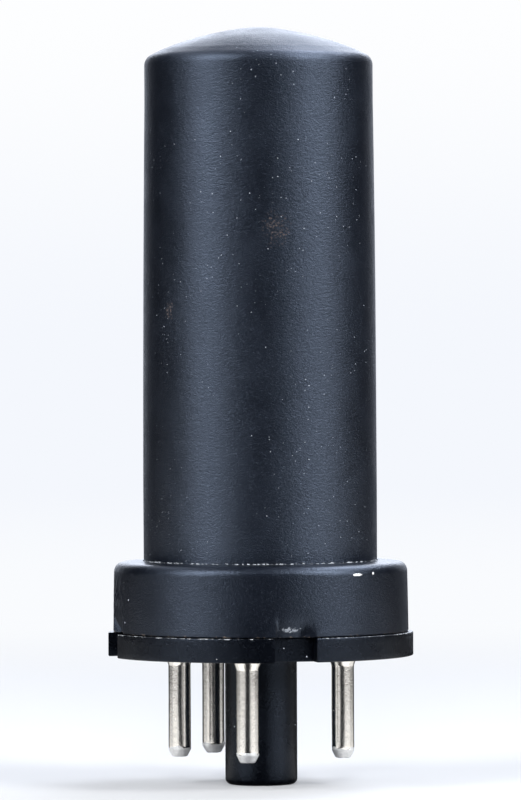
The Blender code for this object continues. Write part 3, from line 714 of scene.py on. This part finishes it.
@dataclass
class Skirt:
    """The painted collar over the shell's flange, crimped into the base's notches."""

    shoulder_radius: float = 15.45
    foot_radius: float = 15.6
    wall: float = 0.6
    corner: float = 1.05
    fall: float = 0.15
    hole: float = 12.42
    crimps: int = 4
    crimp_half: float = 2.0
    crimp_depth: float = 0.8
    crimp_flat: float = 0.3
    crimp_ramp: float = 2.7
    cut_side: float = 0.14  # width of the crimp's sharp side
    soft_side: float = 2.0  # width of its soft side
    steps: int = 720

    def outline(self) -> list[Point]:
        """The section, round the outside and back up the inside."""
        low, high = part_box("header_skirt")
        top, foot = (high.z - SEAT) / MM, (low.z - SEAT) / MM
        inner_wall = self.foot_radius - self.wall
        # It starts part way along the top and ends at the hole's upper edge.
        corners = [(13.4, top - 0.04), (self.shoulder_radius, top - self.fall, self.corner)]
        corners += [(self.foot_radius, foot, 0.12), (inner_wall, foot, 0.12)]
        corners += [(inner_wall - 0.1, top - self.fall - self.wall, self.corner - self.wall)]
        corners += [(self.hole, top - self.wall, 0.08), (self.hole, top)]
        return rounded(corners, 10)

    def warp(self, points: np.ndarray) -> np.ndarray:
        """Punches the crimps and puts in the dents and wrinkles of the wall."""
        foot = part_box("header_skirt")[0].z
        angle = np.arctan2(points[:, 1], points[:, 0])
        quarter = math.tau / self.crimps
        off = ((angle + quarter / 2) % quarter - quarter / 2) * self.foot_radius
        above = (points[:, 2] - foot) / MM
        # Each tongue is cut sharply at its left and runs out softly at its right.
        left = np.clip((self.crimp_half + off) / self.cut_side, 0, 1)
        right = np.clip((self.crimp_half + 0.5 - off) / self.soft_side, 0, 1)
        edge = left * left * (3 - 2 * left) * right * right * (3 - 2 * right)
        ramp = np.clip(1 - (above - self.crimp_flat) / self.crimp_ramp, 0, 1)
        sharp = np.clip(1 - (above - self.crimp_flat) / (self.crimp_ramp * 0.62), 0, 1)
        amount = -self.crimp_depth * MM * edge * (0.45 * ramp ** 2 + 0.55 * sharp ** 1.5)
        # The wall is drawn in a little round each punch.
        halo = np.exp(-(off / 2.6) ** 2) * np.exp(-(np.maximum(above - 0.6, 0) / 1.9) ** 2)
        amount -= 0.10 * MM * halo * (1 - edge * ramp)
        side = np.clip((np.hypot(points[:, 0], points[:, 1]) / MM - 14.2) / 0.6, 0, 1)
        amount += ripple(points, [(3, 20, 0.3, 1.5e-5), (7, 60, 1.7, 0.6e-5), (2, -35, 2.6, 1.2e-5)])
        amount += self.wrinkles(angle, above)
        return push_out(points, amount * side)

    @staticmethod
    def wrinkles(angle: np.ndarray, above: np.ndarray) -> np.ndarray:
        """Low wrinkles in the paint beside the left crimp.

        Args:
            angle: Direction of each point from the axis.
            above: Height of each point above the skirt's edge, in millimetres.

        Returns:
            The height of the wrinkles, in metres.
        """
        aside = np.degrees((angle - CAMERA_SIDE + math.pi) % math.tau - math.pi)
        near = np.exp(-((aside + 78) / 8) ** 2) * np.exp(-((above - 3.4) / 2.3) ** 2)
        folds = np.sin(aside * 1.1 + above * 0.9 + np.sin(above * 3.1) * 1.8)
        folds += 0.6 * np.sin(aside * 2.3 - above * 3.7 + 1.0)
        return near * folds * 7.0e-5

    def build(self, finish: bpy.types.Material) -> bpy.types.Object:
        """Makes the skirt."""
        outline = densified(self.outline(), 0.28 * MM)
        piece = lathe("crimped_skirt", outline, self.steps, self.warp)
        dress(piece, finish, "black_paint", "header_skirt")
        return piece


# Base --------------------------------------------------------------------------------------------

@dataclass
class OctalBase:
    """The moulded base: notched wafer, boss, hollow plug and key."""

    wafer_radius: float = 16.09
    rim: float = 2.5
    boss_radius: float = 14.85
    boss_bore: float = 13.35
    boss_top: float = 5.2
    overlap: float = 0.8  # of the boss and the wafer, where they are joined
    edge: float = 0.12  # radius of the moulded edges
    floor: float = 3.2
    notch_half: float = 2.25
    notch_floor: float = 13.95
    plug_radius: float = 3.8
    plug_bore: float = 2.7
    plug_end: float = 1.2
    plug_corner: float = 0.6
    key_half: float = 1.1
    key_reach: float = 4.95
    key_end: float = 1.0
    pin_hole: float = 1.24
    pin_places: list[Point] = field(default_factory=list)

    def plan(self, radius: float, inset: float, height: float) -> np.ndarray:
        """The notched outline at one height.

        Args:
            radius: Radius between the notches, in millimetres.
            inset: How far every side is drawn in, for a rounded edge.
            height: Height above the seat.

        Returns:
            (n, 3) points in metres, the same count for every radius.
        """
        r, half, bottom = radius - inset, self.notch_half + inset, self.notch_floor - inset
        lip = math.asin(half / r)
        points: list[Point] = []
        for quarter in range(4):
            turn = quarter * math.pi / 2
            corners = [(bottom, -half), (bottom, half)]
            walls = [(bottom + (r * math.cos(lip) - bottom) * s, half) for s in (0.03, 0.25, 0.5, 0.75, 0.97)]
            run = [(bottom, half * s) for s in (-0.94, -0.5, 0.0, 0.5, 0.94)]
            local = [corners[0]] + run + [corners[1]] + walls
            span = math.pi / 2 - 2 * lip
            local += [(r * math.cos(lip + span * s), r * math.sin(lip + span * s))
                      for s in [0.0, 0.006] + [i / 40 for i in range(1, 40)] + [0.994, 1.0]]
            local += [(y, x) for x, y in reversed(walls)]
            points += [(x * math.cos(turn) - y * math.sin(turn), x * math.sin(turn) + y * math.cos(turn))
                       for x, y in local]
        return np.array([(x * MM, y * MM, SEAT + height * MM) for x, y in points])

    def slab(self, name: str, radius: float, low: float, high: float, edge: float) -> bpy.types.Object:
        """A notched slab with rounded edges.

        Args:
            name: The slab's name.
            radius: Radius between the notches, in millimetres.
            low: Height of its under face above the seat.
            high: Height of its top face above the seat.
            edge: Radius of its rounded edges.

        Returns:
            The closed slab.
        """
        turns = [math.pi / 2 * i / 5 for i in range(6)]
        insets = [(edge * (1 - math.sin(a)), edge * (1 - math.cos(a))) for a in turns]
        rings = [self.plan(radius, inset, low + rise) for inset, rise in insets]
        levels = np.linspace(low + edge, high - edge, 5)[1:-1]
        rings += [self.plan(radius, 0.0, level) for level in levels]
        rings += [self.plan(radius, inset, high - rise) for inset, rise in reversed(insets)]
        return stacked(name, rings)

    def plug(self) -> bpy.types.Object:
        """The plug as a solid, with a fillet under the wafer and a rounded end."""
        end = -SEAT / MM
        outline = rounded([
            (0.0, end), (self.plug_radius, end, self.plug_corner), (self.plug_radius, 0.0, 0.3),
            (self.plug_radius + 1.0, 0.0), (self.plug_radius + 1.0, 0.5), (0.0, 0.5),
        ], 8)
        return lathe("plug", densified(outline, 0.9 * MM), 96)

    def hollow(self) -> bpy.types.Object:
        """The space inside the plug and the boss, for cutting."""
        bottom = -SEAT / MM + self.plug_end
        outline = rounded([
            (0.0, bottom), (self.plug_bore, bottom, 0.3), (self.plug_bore, self.floor),
            (self.boss_bore, self.floor), (self.boss_bore, 6.0), (0.0, 6.0),
        ], 6)
        return lathe("hollow", outline, 96)

    def hole(self, x: float, y: float) -> bpy.types.Object:
        """One pin hole with a small chamfer at the seat, for cutting."""
        outline = rounded([
            (0.0, -0.6), (self.pin_hole + 0.6, -0.6), (self.pin_hole, 0.07), (self.pin_hole, 4.5), (0.0, 4.5),
        ])
        return lathe("hole", outline, 64, at=(x, y))

    def key(self) -> bpy.types.Object:
        """The locating key, with rounded edges and a lead-in at its lower end."""
        root, low, high = self.plug_radius - 0.6, self.key_end, SEAT / MM + 1.0
        side = [
            (root, low), (self.plug_radius + 0.55, low), (self.key_reach, low + 1.15), (self.key_reach, high),
            (root, high),
        ]
        bm = bmesh.new()
        verts = [bm.verts.new((-self.key_half * MM, y * MM, z * MM)) for y, z in side]
        face = bm.faces.new(verts)
        raised = bmesh.ops.extrude_face_region(bm, geom=[face])["geom"]
        moved = [v for v in raised if isinstance(v, bmesh.types.BMVert)]
        bmesh.ops.translate(bm, verts=moved, vec=(self.key_half * 2 * MM, 0, 0))
        bmesh.ops.recalc_face_normals(bm, faces=bm.faces)
        bmesh.ops.bevel(bm, geom=bm.edges[:], offset=0.22 * MM, segments=4, profile=0.5, affect="EDGES")
        mesh = bpy.data.meshes.new("key")
        bm.to_mesh(mesh)
        bm.free()
        return new_object("key", mesh)

    def build(self, finish: bpy.types.Material) -> bpy.types.Object:
        """Makes the base."""
        piece = self.slab("moulded_base", self.wafer_radius, 0.0, self.rim, self.edge)
        # The boss's notches are a touch wider, so that no two faces of the join lie together.
        boss = OctalBase(notch_half=self.notch_half + 0.01, notch_floor=self.notch_floor - 0.01)
        top = boss.slab("boss", self.boss_radius, self.rim - self.overlap, self.boss_top, self.edge)
        cut(piece, top, "UNION")
        cut(piece, self.plug(), "UNION")
        cut(piece, self.key(), "UNION")
        cut(piece, self.hollow(), "DIFFERENCE")
        for x, y in self.pin_places:
            cut(piece, self.hole(x, y), "DIFFERENCE")
        smooth(piece, 30)
        weigh_normals(piece)
        dress(piece, finish, "phenolic", "octal_base")
        return piece


@dataclass
class Pin:
    """A hollow nickel-plated pin and the solder that closes it."""

    number: int
    place: Point
    radius: float = 1.18
    bore: float = 0.72
    collar: float = 1.40
    length: float = 10.8
    flare: float = 0.42  # how far the swaged end stands out
    flare_height: float = 0.34
    crown: float = 0.78
    lump: float = 0.03
    seed: int = 0
    steps: int = 64

    def outline(self) -> list[Point]:
        """The pin's section: flare, shank, collar, nose and bore."""
        tip = -self.length
        top = (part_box(f"base_pin_{self.number}")[1].z - SEAT) / MM
        corners = [
            (1.1, top), (self.radius + self.flare, top, 0.12),
            (self.radius + self.flare, top - self.flare_height, 0.1), (self.radius, top - self.flare_height),
            (self.radius, -0.04), (self.collar, -0.04, 0.06), (self.collar, -0.42, 0.12),
            (self.radius, -1.06, 0.6), (self.radius, tip + 1.0, 0.7), (0.80, tip + 0.3, 0.08),
            (0.63, tip + 0.3, 0.05), (self.bore, tip + 1.0), (self.bore, top),
        ]
        return rounded(corners, 6)

    def tip_outline(self) -> list[Point]:
        """The solder's section: a plug in the bore with a low crown outside."""
        tip = -self.length
        rise = (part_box(f"pin_solder_{self.number}")[1].z - SEAT) / MM
        corners = [
            (0.0, tip + 1.0), (0.37, tip + 1.0), (0.37, rise), (self.bore - 0.05, rise, 0.05),
            (self.bore - 0.05, tip + 1.0), (0.58, tip + 0.34), (0.76, tip + 0.32), (1.15, tip + 1.02),
            (self.radius + 0.01, tip + 1.05, 0.01), (self.radius + 0.02, tip + 0.86, 0.3),
            (self.crown, tip + 0.02, 0.2), (0.0, tip),
        ]
        return rounded(corners, 6)

    def drawn(self, points: np.ndarray) -> np.ndarray:
        """Puts the slight unevenness of drawn tube into the pin."""
        waves = [(3, 120, self.seed, 0.4e-5), (2, -70, self.seed * 2.0, 0.5e-5)]
        return push_out(points, ripple(points, waves))

    def uneven(self, points: np.ndarray) -> np.ndarray:
        """Makes the solder lumpy, as it sets."""
        rng = np.random.default_rng(self.seed)
        phases = rng.uniform(0, math.tau, 6)
        low = -self.length * MM + SEAT
        above = (points[:, 2] - low) / MM
        angle = np.arctan2(points[:, 1], points[:, 0])
        reach = np.hypot(points[:, 0], points[:, 1]) / MM
        lumps = sum(np.sin(k * angle + phases[k - 1] + 2.5 * above) / k for k in range(2, 6))
        outside = np.clip((reach - 0.5) / 0.3, 0, 1) * np.clip((1.2 - above) / 0.2, 0, 1)
        moved = push_out(points, outside * lumps * self.lump * MM)
        crown = outside * np.clip((0.5 - above) / 0.4, 0, 1)
        moved[:, 2] += crown * np.abs(lumps) * self.lump * 1.6 * MM
        # The film's upper edge wanders round the pin.
        edge = np.clip((above - 0.84) / 0.2, 0, 1) * (reach > 1.0)
        wander = np.sin(3 * angle + phases[0]) + np.sin(7 * angle + phases[1]) * 0.5
        moved[:, 2] += edge * wander * 0.14 * MM
        return moved

    def build(self, plating: bpy.types.Material, solder: bpy.types.Material) -> None:
        """Makes the pin and its solder."""
        outline = densified(self.outline(), 0.5 * MM)
        pin = lathe(f"plated_pin_{self.number}", outline, self.steps, self.drawn, self.place)
        dress(pin, plating, "nickel_plating", f"base_pin_{self.number}")
        outline = densified(self.tip_outline(), 0.12 * MM)
        tip = lathe(f"solder_tip_{self.number}", outline, self.steps, self.uneven, self.place)
        dress(tip, solder, "solder", f"pin_solder_{self.number}")


# Finishes of this tube ---------------------------------------------------------------------------

class Finishes:
    """Every material of the tube, made once."""

    def __init__(self, effects: Effects) -> None:
        """Makes the materials."""
        skirt_low, skirt_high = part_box("header_skirt")
        joint = skirt_high.z
        blue = (0.59, 0.73, 1.0)
        rust = (0.075, 0.052, 0.038)
        # The paints and the moulding get a painted highlight on the ridges of their grain.
        self.shell = BandedFinish(
            "satin_black_paint", (0.0012, 0.0018, 0.0040), 0.36, specular=0.95, tint=blue,
            grain_height=4.2e-5, grain_across=5500.0, grain_upwards=11500.0, mottle=0.5, mottle_scale=260.0,
            ridge_highlight=(0.018, 0.021, 0.027), ridge_highlight_share=(1.0, 0.6),
            dust=0.80, dust_spacing=0.00046, dust_size=0.085, dust_colour=(0.44, 0.48, 0.54),
            band_height=joint + 0.03 * MM, band_half=0.15 * MM, band_cover=0.22, band_grain=3400.0,
            band_colour=(0.55, 0.58, 0.62),
            patches=(
                Patch(12.2, 8.2, 44.8, 2.7, 3.6, rust, 0.75, 0.21, 4200.0),
                Patch(12.25, -50.0, 36.3, 1.4, 1.8, rust, 0.75, 0.23, 5000.0),
            ),
        ).build(effects)
        self.skirt = BandedFinish(
            "smooth_black_paint", (0.0012, 0.0018, 0.0040), 0.32, specular=0.78, tint=blue,
            grain_height=3.5e-5, grain_across=7000.0, grain_upwards=9000.0, mottle=0.4, mottle_scale=240.0,
            ridge_highlight=(0.014, 0.016, 0.021), ridge_highlight_share=(1.0, 1.0),
            dust=0.30, dust_spacing=0.0009, dust_size=0.08,
            band_height=skirt_low.z, band_half=0.22 * MM, band_cover=0.17, band_grain=2600.0,
            band_colour=(0.15, 0.115, 0.09),
            patches=(
                Patch(15.2, 40.5, 8.9, 1.05, 0.20, (0.85, 0.85, 0.83), 0.6, 0.75, 3500.0),
                Patch(15.3, 49.0, 8.95, 0.34, 0.26, (0.8, 0.8, 0.78), 0.6, 0.75, 3500.0),
                # A grey speckled patch on the front crimp's tongue: a painted highlight where the tongue
                # faces up.
                Patch(15.0, 11.5, 3.35, 1.9, 0.55, (0.30, 0.32, 0.35), 0.7, 0.32, 4600.0),
            ),
        ).build(effects)
        self.base = BandedFinish(
            "moulded_phenolic", (0.0008, 0.0011, 0.0022), 0.28, specular=0.34, tint=blue,
            grain_height=3.5e-5, grain_across=7000.0, grain_upwards=8000.0, mottle=0.5, mottle_scale=300.0,
            ridge_highlight=(0.010, 0.012, 0.016), ridge_highlight_share=(1.0, 1.0),
            dust=0.22, dust_spacing=0.0008, dust_size=0.10,
            band_height=SEAT + 2.5 * MM, band_half=0.12 * MM, band_inside=16.0 * MM, band_cover=0.26,
            band_grain=2400.0, band_colour=(0.35, 0.36, 0.37),
        ).build(effects)
        self.pin = Finish(
            "nickel_plating", (0.97, 0.91, 0.82), 0.22, metallic=1.0,
            grain_height=0.9e-5, grain_across=7000.0, grain_upwards=5000.0, mottle=0.45, mottle_scale=2600.0,
            dust=0.16, dust_spacing=0.0005, dust_size=0.12, dust_colour=(0.10, 0.08, 0.06),
        ).build(effects)
        self.solder = Finish(
            "dull_solder", (0.74, 0.76, 0.79), 0.42, metallic=0.45, grain_height=2.0e-5, grain_across=3000.0,
            grain_upwards=3000.0, mottle=0.9, mottle_scale=2200.0,
        ).build(effects)
        # Each of these has the name of its slot in the record.
        self.inside = (
            Finish("header_steel", (0.42, 0.41, 0.40), 0.45, metallic=1.0, grain_height=2e-6, mottle=0.9),
            Finish("sealing_alloy", (0.40, 0.37, 0.35), 0.42, metallic=1.0, grain_height=1e-6, mottle=1.2),
            Finish("stem_glass", (0.86, 0.93, 0.90), 0.06, transmission=1.0, mottle=0.12),
            Finish(
                "lead_wire", (0.62, 0.47, 0.36), 0.32, metallic=1.0, grain_height=1e-6, mottle=1.0,
                mottle_scale=1500.0,
            ),
            Finish("bright_nickel", (0.68, 0.66, 0.62), 0.28, metallic=1.0, grain_height=1e-6, mottle=0.6),
            Finish(
                "carbonised_plate", (0.05, 0.05, 0.052), 0.72, metallic=0.2, grain_height=5e-6,
                grain_across=5000.0, grain_upwards=5000.0, mottle=0.8,
            ),
            Finish("mica", (0.74, 0.70, 0.60), 0.28, mottle=0.8, mottle_scale=500.0),
            Finish(
                "oxide_coating", (0.85, 0.84, 0.81), 0.9, grain_height=6e-6, grain_across=6000.0,
                grain_upwards=6000.0, mottle=0.3,
            ),
            Finish(
                "heater_coating", (0.9, 0.89, 0.86), 0.92, grain_height=5e-6, grain_across=6000.0,
                grain_upwards=6000.0, mottle=0.3,
            ),
            Finish(
                "getter_coating", (0.22, 0.22, 0.23), 0.5, metallic=0.6, grain_height=3e-6, mottle=1.4,
                mottle_scale=1200.0,
            ),
        )
        self.effects = effects

    def finish_inside(self) -> None:
        """Gives every CAD node that stays its own finish."""
        made = {finish.name: finish.build(self.effects) for finish in self.inside}
        slots = {entry["node"]: entry["material_slot"] for entry in frame["record"]["subparts"]}
        for name, node in frame["nodes"].items():
            if slots[name] in made:
                node.data.materials.clear()
                node.data.materials.append(made[slots[name]])
                LOG.info("%s: CAD node with %s", name, slots[name])


# Studio ------------------------------------------------------------------------------------------

@dataclass(frozen=True)
class Panel:
    """A soft panel light, aimed at the tube."""

    name: str
    aside: float  # degrees to the right of the camera, seen from the tube
    height: float  # of its middle
    size: tuple[float, float]
    radiance: float
    distance: float = 0.50
    look: float = 0.06
    colour: Colour = (0.97, 0.985, 1.0)
    mirrored: bool = True  # whether glossy surfaces show it


@dataclass
class Studio:
    """Camera, lights, backdrop and floor."""

    distance: float = 0.620
    eye: float = 34.3  # height of the camera above the seat, in millimetres
    pitch: float = -0.684  # this and the next two in degrees
    roll: float = -0.247
    pan: float = 0.007
    lens: float = 264.5
    high_panel: float = 3.2
    side_panel: float = 8.0
    room: float = 0.035
    sheet_half: float = 1.6
    sheet_drop: float = -2.0e-5
    sheet: Colour = (0.44, 0.44, 0.445)
    sheet_glow: Colour = (0.18, 0.187, 0.20)
    sheet_mirrored: Colour = (1.58, 1.56, 1.52)
    panels: tuple[Panel, ...] = (
        Panel("left_panel", -55.5, 0.35, (0.31, 0.50), 6.4),
        Panel("right_panel", 62.5, 0.35, (0.33, 0.50), 6.4),
        Panel("left_upper", -50.0, 0.56, (0.18, 0.26), 6.0),
        Panel("right_upper", 54.0, 0.56, (0.19, 0.30), 8.0),
        Panel("front_fill", 0.0, 0.34, (0.16, 0.10), 60.0, 0.75, 0.04, mirrored=False),
        Panel("back_fill", 180.0, 0.55, (0.50, 0.30), 0.5, 0.40, 0.00, mirrored=False),
    )

    def camera(self) -> None:
        """Places the camera and makes it the scene's."""
        data = bpy.data.cameras.new("camera")
        data.lens = self.lens
        data.clip_start = 0.01
        made = new_object("camera", data)
        spot = Matrix.Translation((
            self.distance * math.sin(VIEW_ANGLE), -self.distance * math.cos(VIEW_ANGLE), SEAT + self.eye * MM,
        ))
        turn = Matrix.Rotation(VIEW_ANGLE - math.radians(self.pan), 4, "Z")
        tilt = Matrix.Rotation(math.radians(90 + self.pitch), 4, "X")
        roll = Matrix.Rotation(math.radians(self.roll), 4, "Z")
        made.matrix_world = spot @ turn @ tilt @ roll
        bpy.context.scene.camera = made

    def panel(self, panel: Panel) -> None:
        """Places one soft panel light, facing the tube."""
        data = bpy.data.lights.new(panel.name, "AREA")
        data.shape = "RECTANGLE"
        data.size, data.size_y = panel.size
        data.energy = panel.radiance * math.pi * panel.size[0] * panel.size[1]
        data.color = panel.colour
        made = new_object(panel.name, data)
        angle = CAMERA_SIDE + math.radians(panel.aside)
        made.location = (panel.distance * math.cos(angle), panel.distance * math.sin(angle), panel.height)
        aim = Vector((0, 0, panel.look)) - made.location
        made.rotation_euler = aim.to_track_quat("-Z", "Y").to_euler()
        made.visible_glossy = panel.mirrored

    def world(self) -> None:
        """A white backdrop behind the tube, a bright panel high behind it and a dim room in front."""
        world = bpy.data.worlds.new("studio")
        bpy.context.scene.world = world
        world.use_nodes = True
        graph = Graph(world.node_tree)
        graph.tree.nodes.clear()
        towards = graph.add("ShaderNodeTexCoord").outputs["Generated"]
        behind = (-math.cos(CAMERA_SIDE), -math.sin(CAMERA_SIDE), 0.0)
        right = (-math.sin(CAMERA_SIDE), math.cos(CAMERA_SIDE), 0.0)
        back = graph.vector("DOT_PRODUCT", towards, behind).outputs["Value"]
        aside = graph.vector("DOT_PRODUCT", towards, right).outputs["Value"]
        upwards = graph.add("ShaderNodeSeparateXYZ", {0: towards}).outputs[2]
        wall = graph.ramp(back, 0.81, 0.95)
        low = graph.ramp(upwards, -0.30, -0.02)
        lit = graph.math("MULTIPLY", wall, low)
        top = graph.math("MULTIPLY_ADD", aside, -0.5, upwards)
        edge = graph.math("MULTIPLY", graph.ramp(upwards, 0.05, 0.30), graph.ramp(top, 0.62, 0.52))
        edge = graph.math("MULTIPLY", edge, graph.ramp(graph.math("ABSOLUTE", aside), 0.32, 0.18))
        edge = graph.math("MULTIPLY", edge, graph.ramp(back, 0.40, 0.60))
        lit = graph.math("MULTIPLY_ADD", edge, self.high_panel, lit)
        # Two more panels hang high at either side, a little behind the tube.
        for side, wide, strength in ((1, 0.92, self.side_panel), (-1, 0.96, 0.25 * self.side_panel)):
            spot = Vector(behind) * 0.42 + Vector(right) * 0.38 * side + Vector((0, 0, 0.83))
            near = graph.vector("DOT_PRODUCT", towards, tuple(spot.normalized())).outputs["Value"]
            lit = graph.math("MULTIPLY_ADD", graph.ramp(near, wide, 0.985), strength, lit)
        seen = graph.vector("SCALE", (0.88, 0.94, 1.06)).outputs[0]
        graph.tree.links.new(graph.math("ADD", lit, self.room), seen.node.inputs["Scale"])
        sky = graph.mix(graph.ramp(upwards, -0.005, 0.058), (0.905, 0.930, 0.983), (0.985, 0.991, 1.0))
        light = graph.add("ShaderNodeLightPath")
        shown = graph.mix(light.outputs["Is Camera Ray"], seen, sky)
        plain = graph.add("ShaderNodeBackground", {"Color": shown, "Strength": 1.0})
        out = graph.add("ShaderNodeOutputWorld")
        graph.tree.links.new(plain.outputs[0], out.inputs[0])

    def floor(self) -> None:
        """A white sheet under the tube that keeps its shadow and fades into the backdrop."""
        half, turn = self.sheet_half, Matrix.Rotation(VIEW_ANGLE, 3, "Z")
        corners = ((-half, -half), (half, -half), (half, half), (-half, half))
        mesh = bpy.data.meshes.new("floor")
        points = [tuple(turn @ Vector((x, y, self.sheet_drop))) for x, y in corners]
        mesh.from_pydata(points, [], [(0, 1, 2, 3)])
        made = new_object("floor", mesh)
        white = bpy.data.materials.new("white_sheet")
        white.use_nodes = True
        graph = Graph(white.node_tree)
        shader = white.node_tree.nodes["Principled BSDF"]
        shader.inputs["Roughness"].default_value = 1.0
        shader.inputs["Specular IOR Level"].default_value = 0.0
        place = graph.add("ShaderNodeTexCoord").outputs["Object"]
        away = graph.vector("LENGTH", place).outputs["Value"]
        far = graph.ramp(away, 0.10, 0.34)
        distant = graph.mix(graph.ramp(away, 0.40, 1.20), (0.950, 0.966, 0.992), (0.905, 0.930, 0.983))
        light = graph.add("ShaderNodeLightPath")
        mirrored = light.outputs["Is Glossy Ray"]
        base = graph.mix(far, self.sheet, (0.0, 0.0, 0.0))
        base = graph.mix(mirrored, base, (0.0, 0.0, 0.0))
        # Mirrored in the pins and the paint, the sheet is bright at either side and dark straight in front.
        outwards = graph.vector("NORMALIZE", place).outputs[0]
        front = (math.cos(CAMERA_SIDE), math.sin(CAMERA_SIDE), 0.0)
        ahead = graph.vector("DOT_PRODUCT", outwards, front).outputs["Value"]
        beside = graph.math("MULTIPLY", graph.ramp(ahead, 0.05, 0.30), graph.ramp(away, 0.25, 0.12))
        around = graph.math("MULTIPLY", graph.ramp(away, 0.19, 0.10, 0.70), graph.ramp(ahead, -0.70, -0.40))
        beside = graph.math("MULTIPLY", graph.math("MAXIMUM", beside, around), graph.ramp(ahead, 0.97, 0.88))
        beside = graph.math("MULTIPLY", beside, graph.ramp(away, 0.005, 0.014))
        bright = graph.mix(beside, (0.03, 0.03, 0.033), self.sheet_mirrored)
        glow = graph.mix(far, self.sheet_glow, distant)
        glow = graph.mix(mirrored, glow, bright)
        shown = graph.math("MAXIMUM", light.outputs["Is Camera Ray"], mirrored)
        # Seen from below the sheet is clear, so that the underside of the tube shows.
        below = graph.add("ShaderNodeNewGeometry").outputs["Backfacing"]
        graph.tree.links.new(graph.math("SUBTRACT", 1.0, below), shader.inputs["Alpha"])
        graph.tree.links.new(base, shader.inputs["Base Color"])
        graph.tree.links.new(glow, shader.inputs["Emission Color"])
        graph.tree.links.new(shown, shader.inputs["Emission Strength"])
        mesh.materials.append(white)

    def build(self) -> None:
        """Sets up the whole studio."""
        bpy.context.scene.view_settings.view_transform = "Standard"
        self.camera()
        for panel in self.panels:
            self.panel(panel)
        self.world()
        self.floor()


def middle_of(node: str) -> Point:
    """The middle of a CAD node in plan."""
    low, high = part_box(node)
    return ((low.x + high.x) / 2, (low.y + high.y) / 2)


def main() -> None:
    """Builds the tube's looks piece by piece."""
    logging.basicConfig(level=logging.INFO, format="%(name)s: %(message)s")
    Studio().build()
    finishes = Finishes(Effects())
    Shell().build(finishes.shell)
    Skirt().build(finishes.skirt)
    places = {n: middle_of(f"base_pin_{n}") for n in PIN_NUMBERS}
    OctalBase(pin_places=list(places.values())).build(finishes.base)
    for number, place in places.items():
        Pin(number, place, seed=number).build(finishes.pin, finishes.solder)
    finishes.finish_inside()


if __name__ == "__main__":
    main()
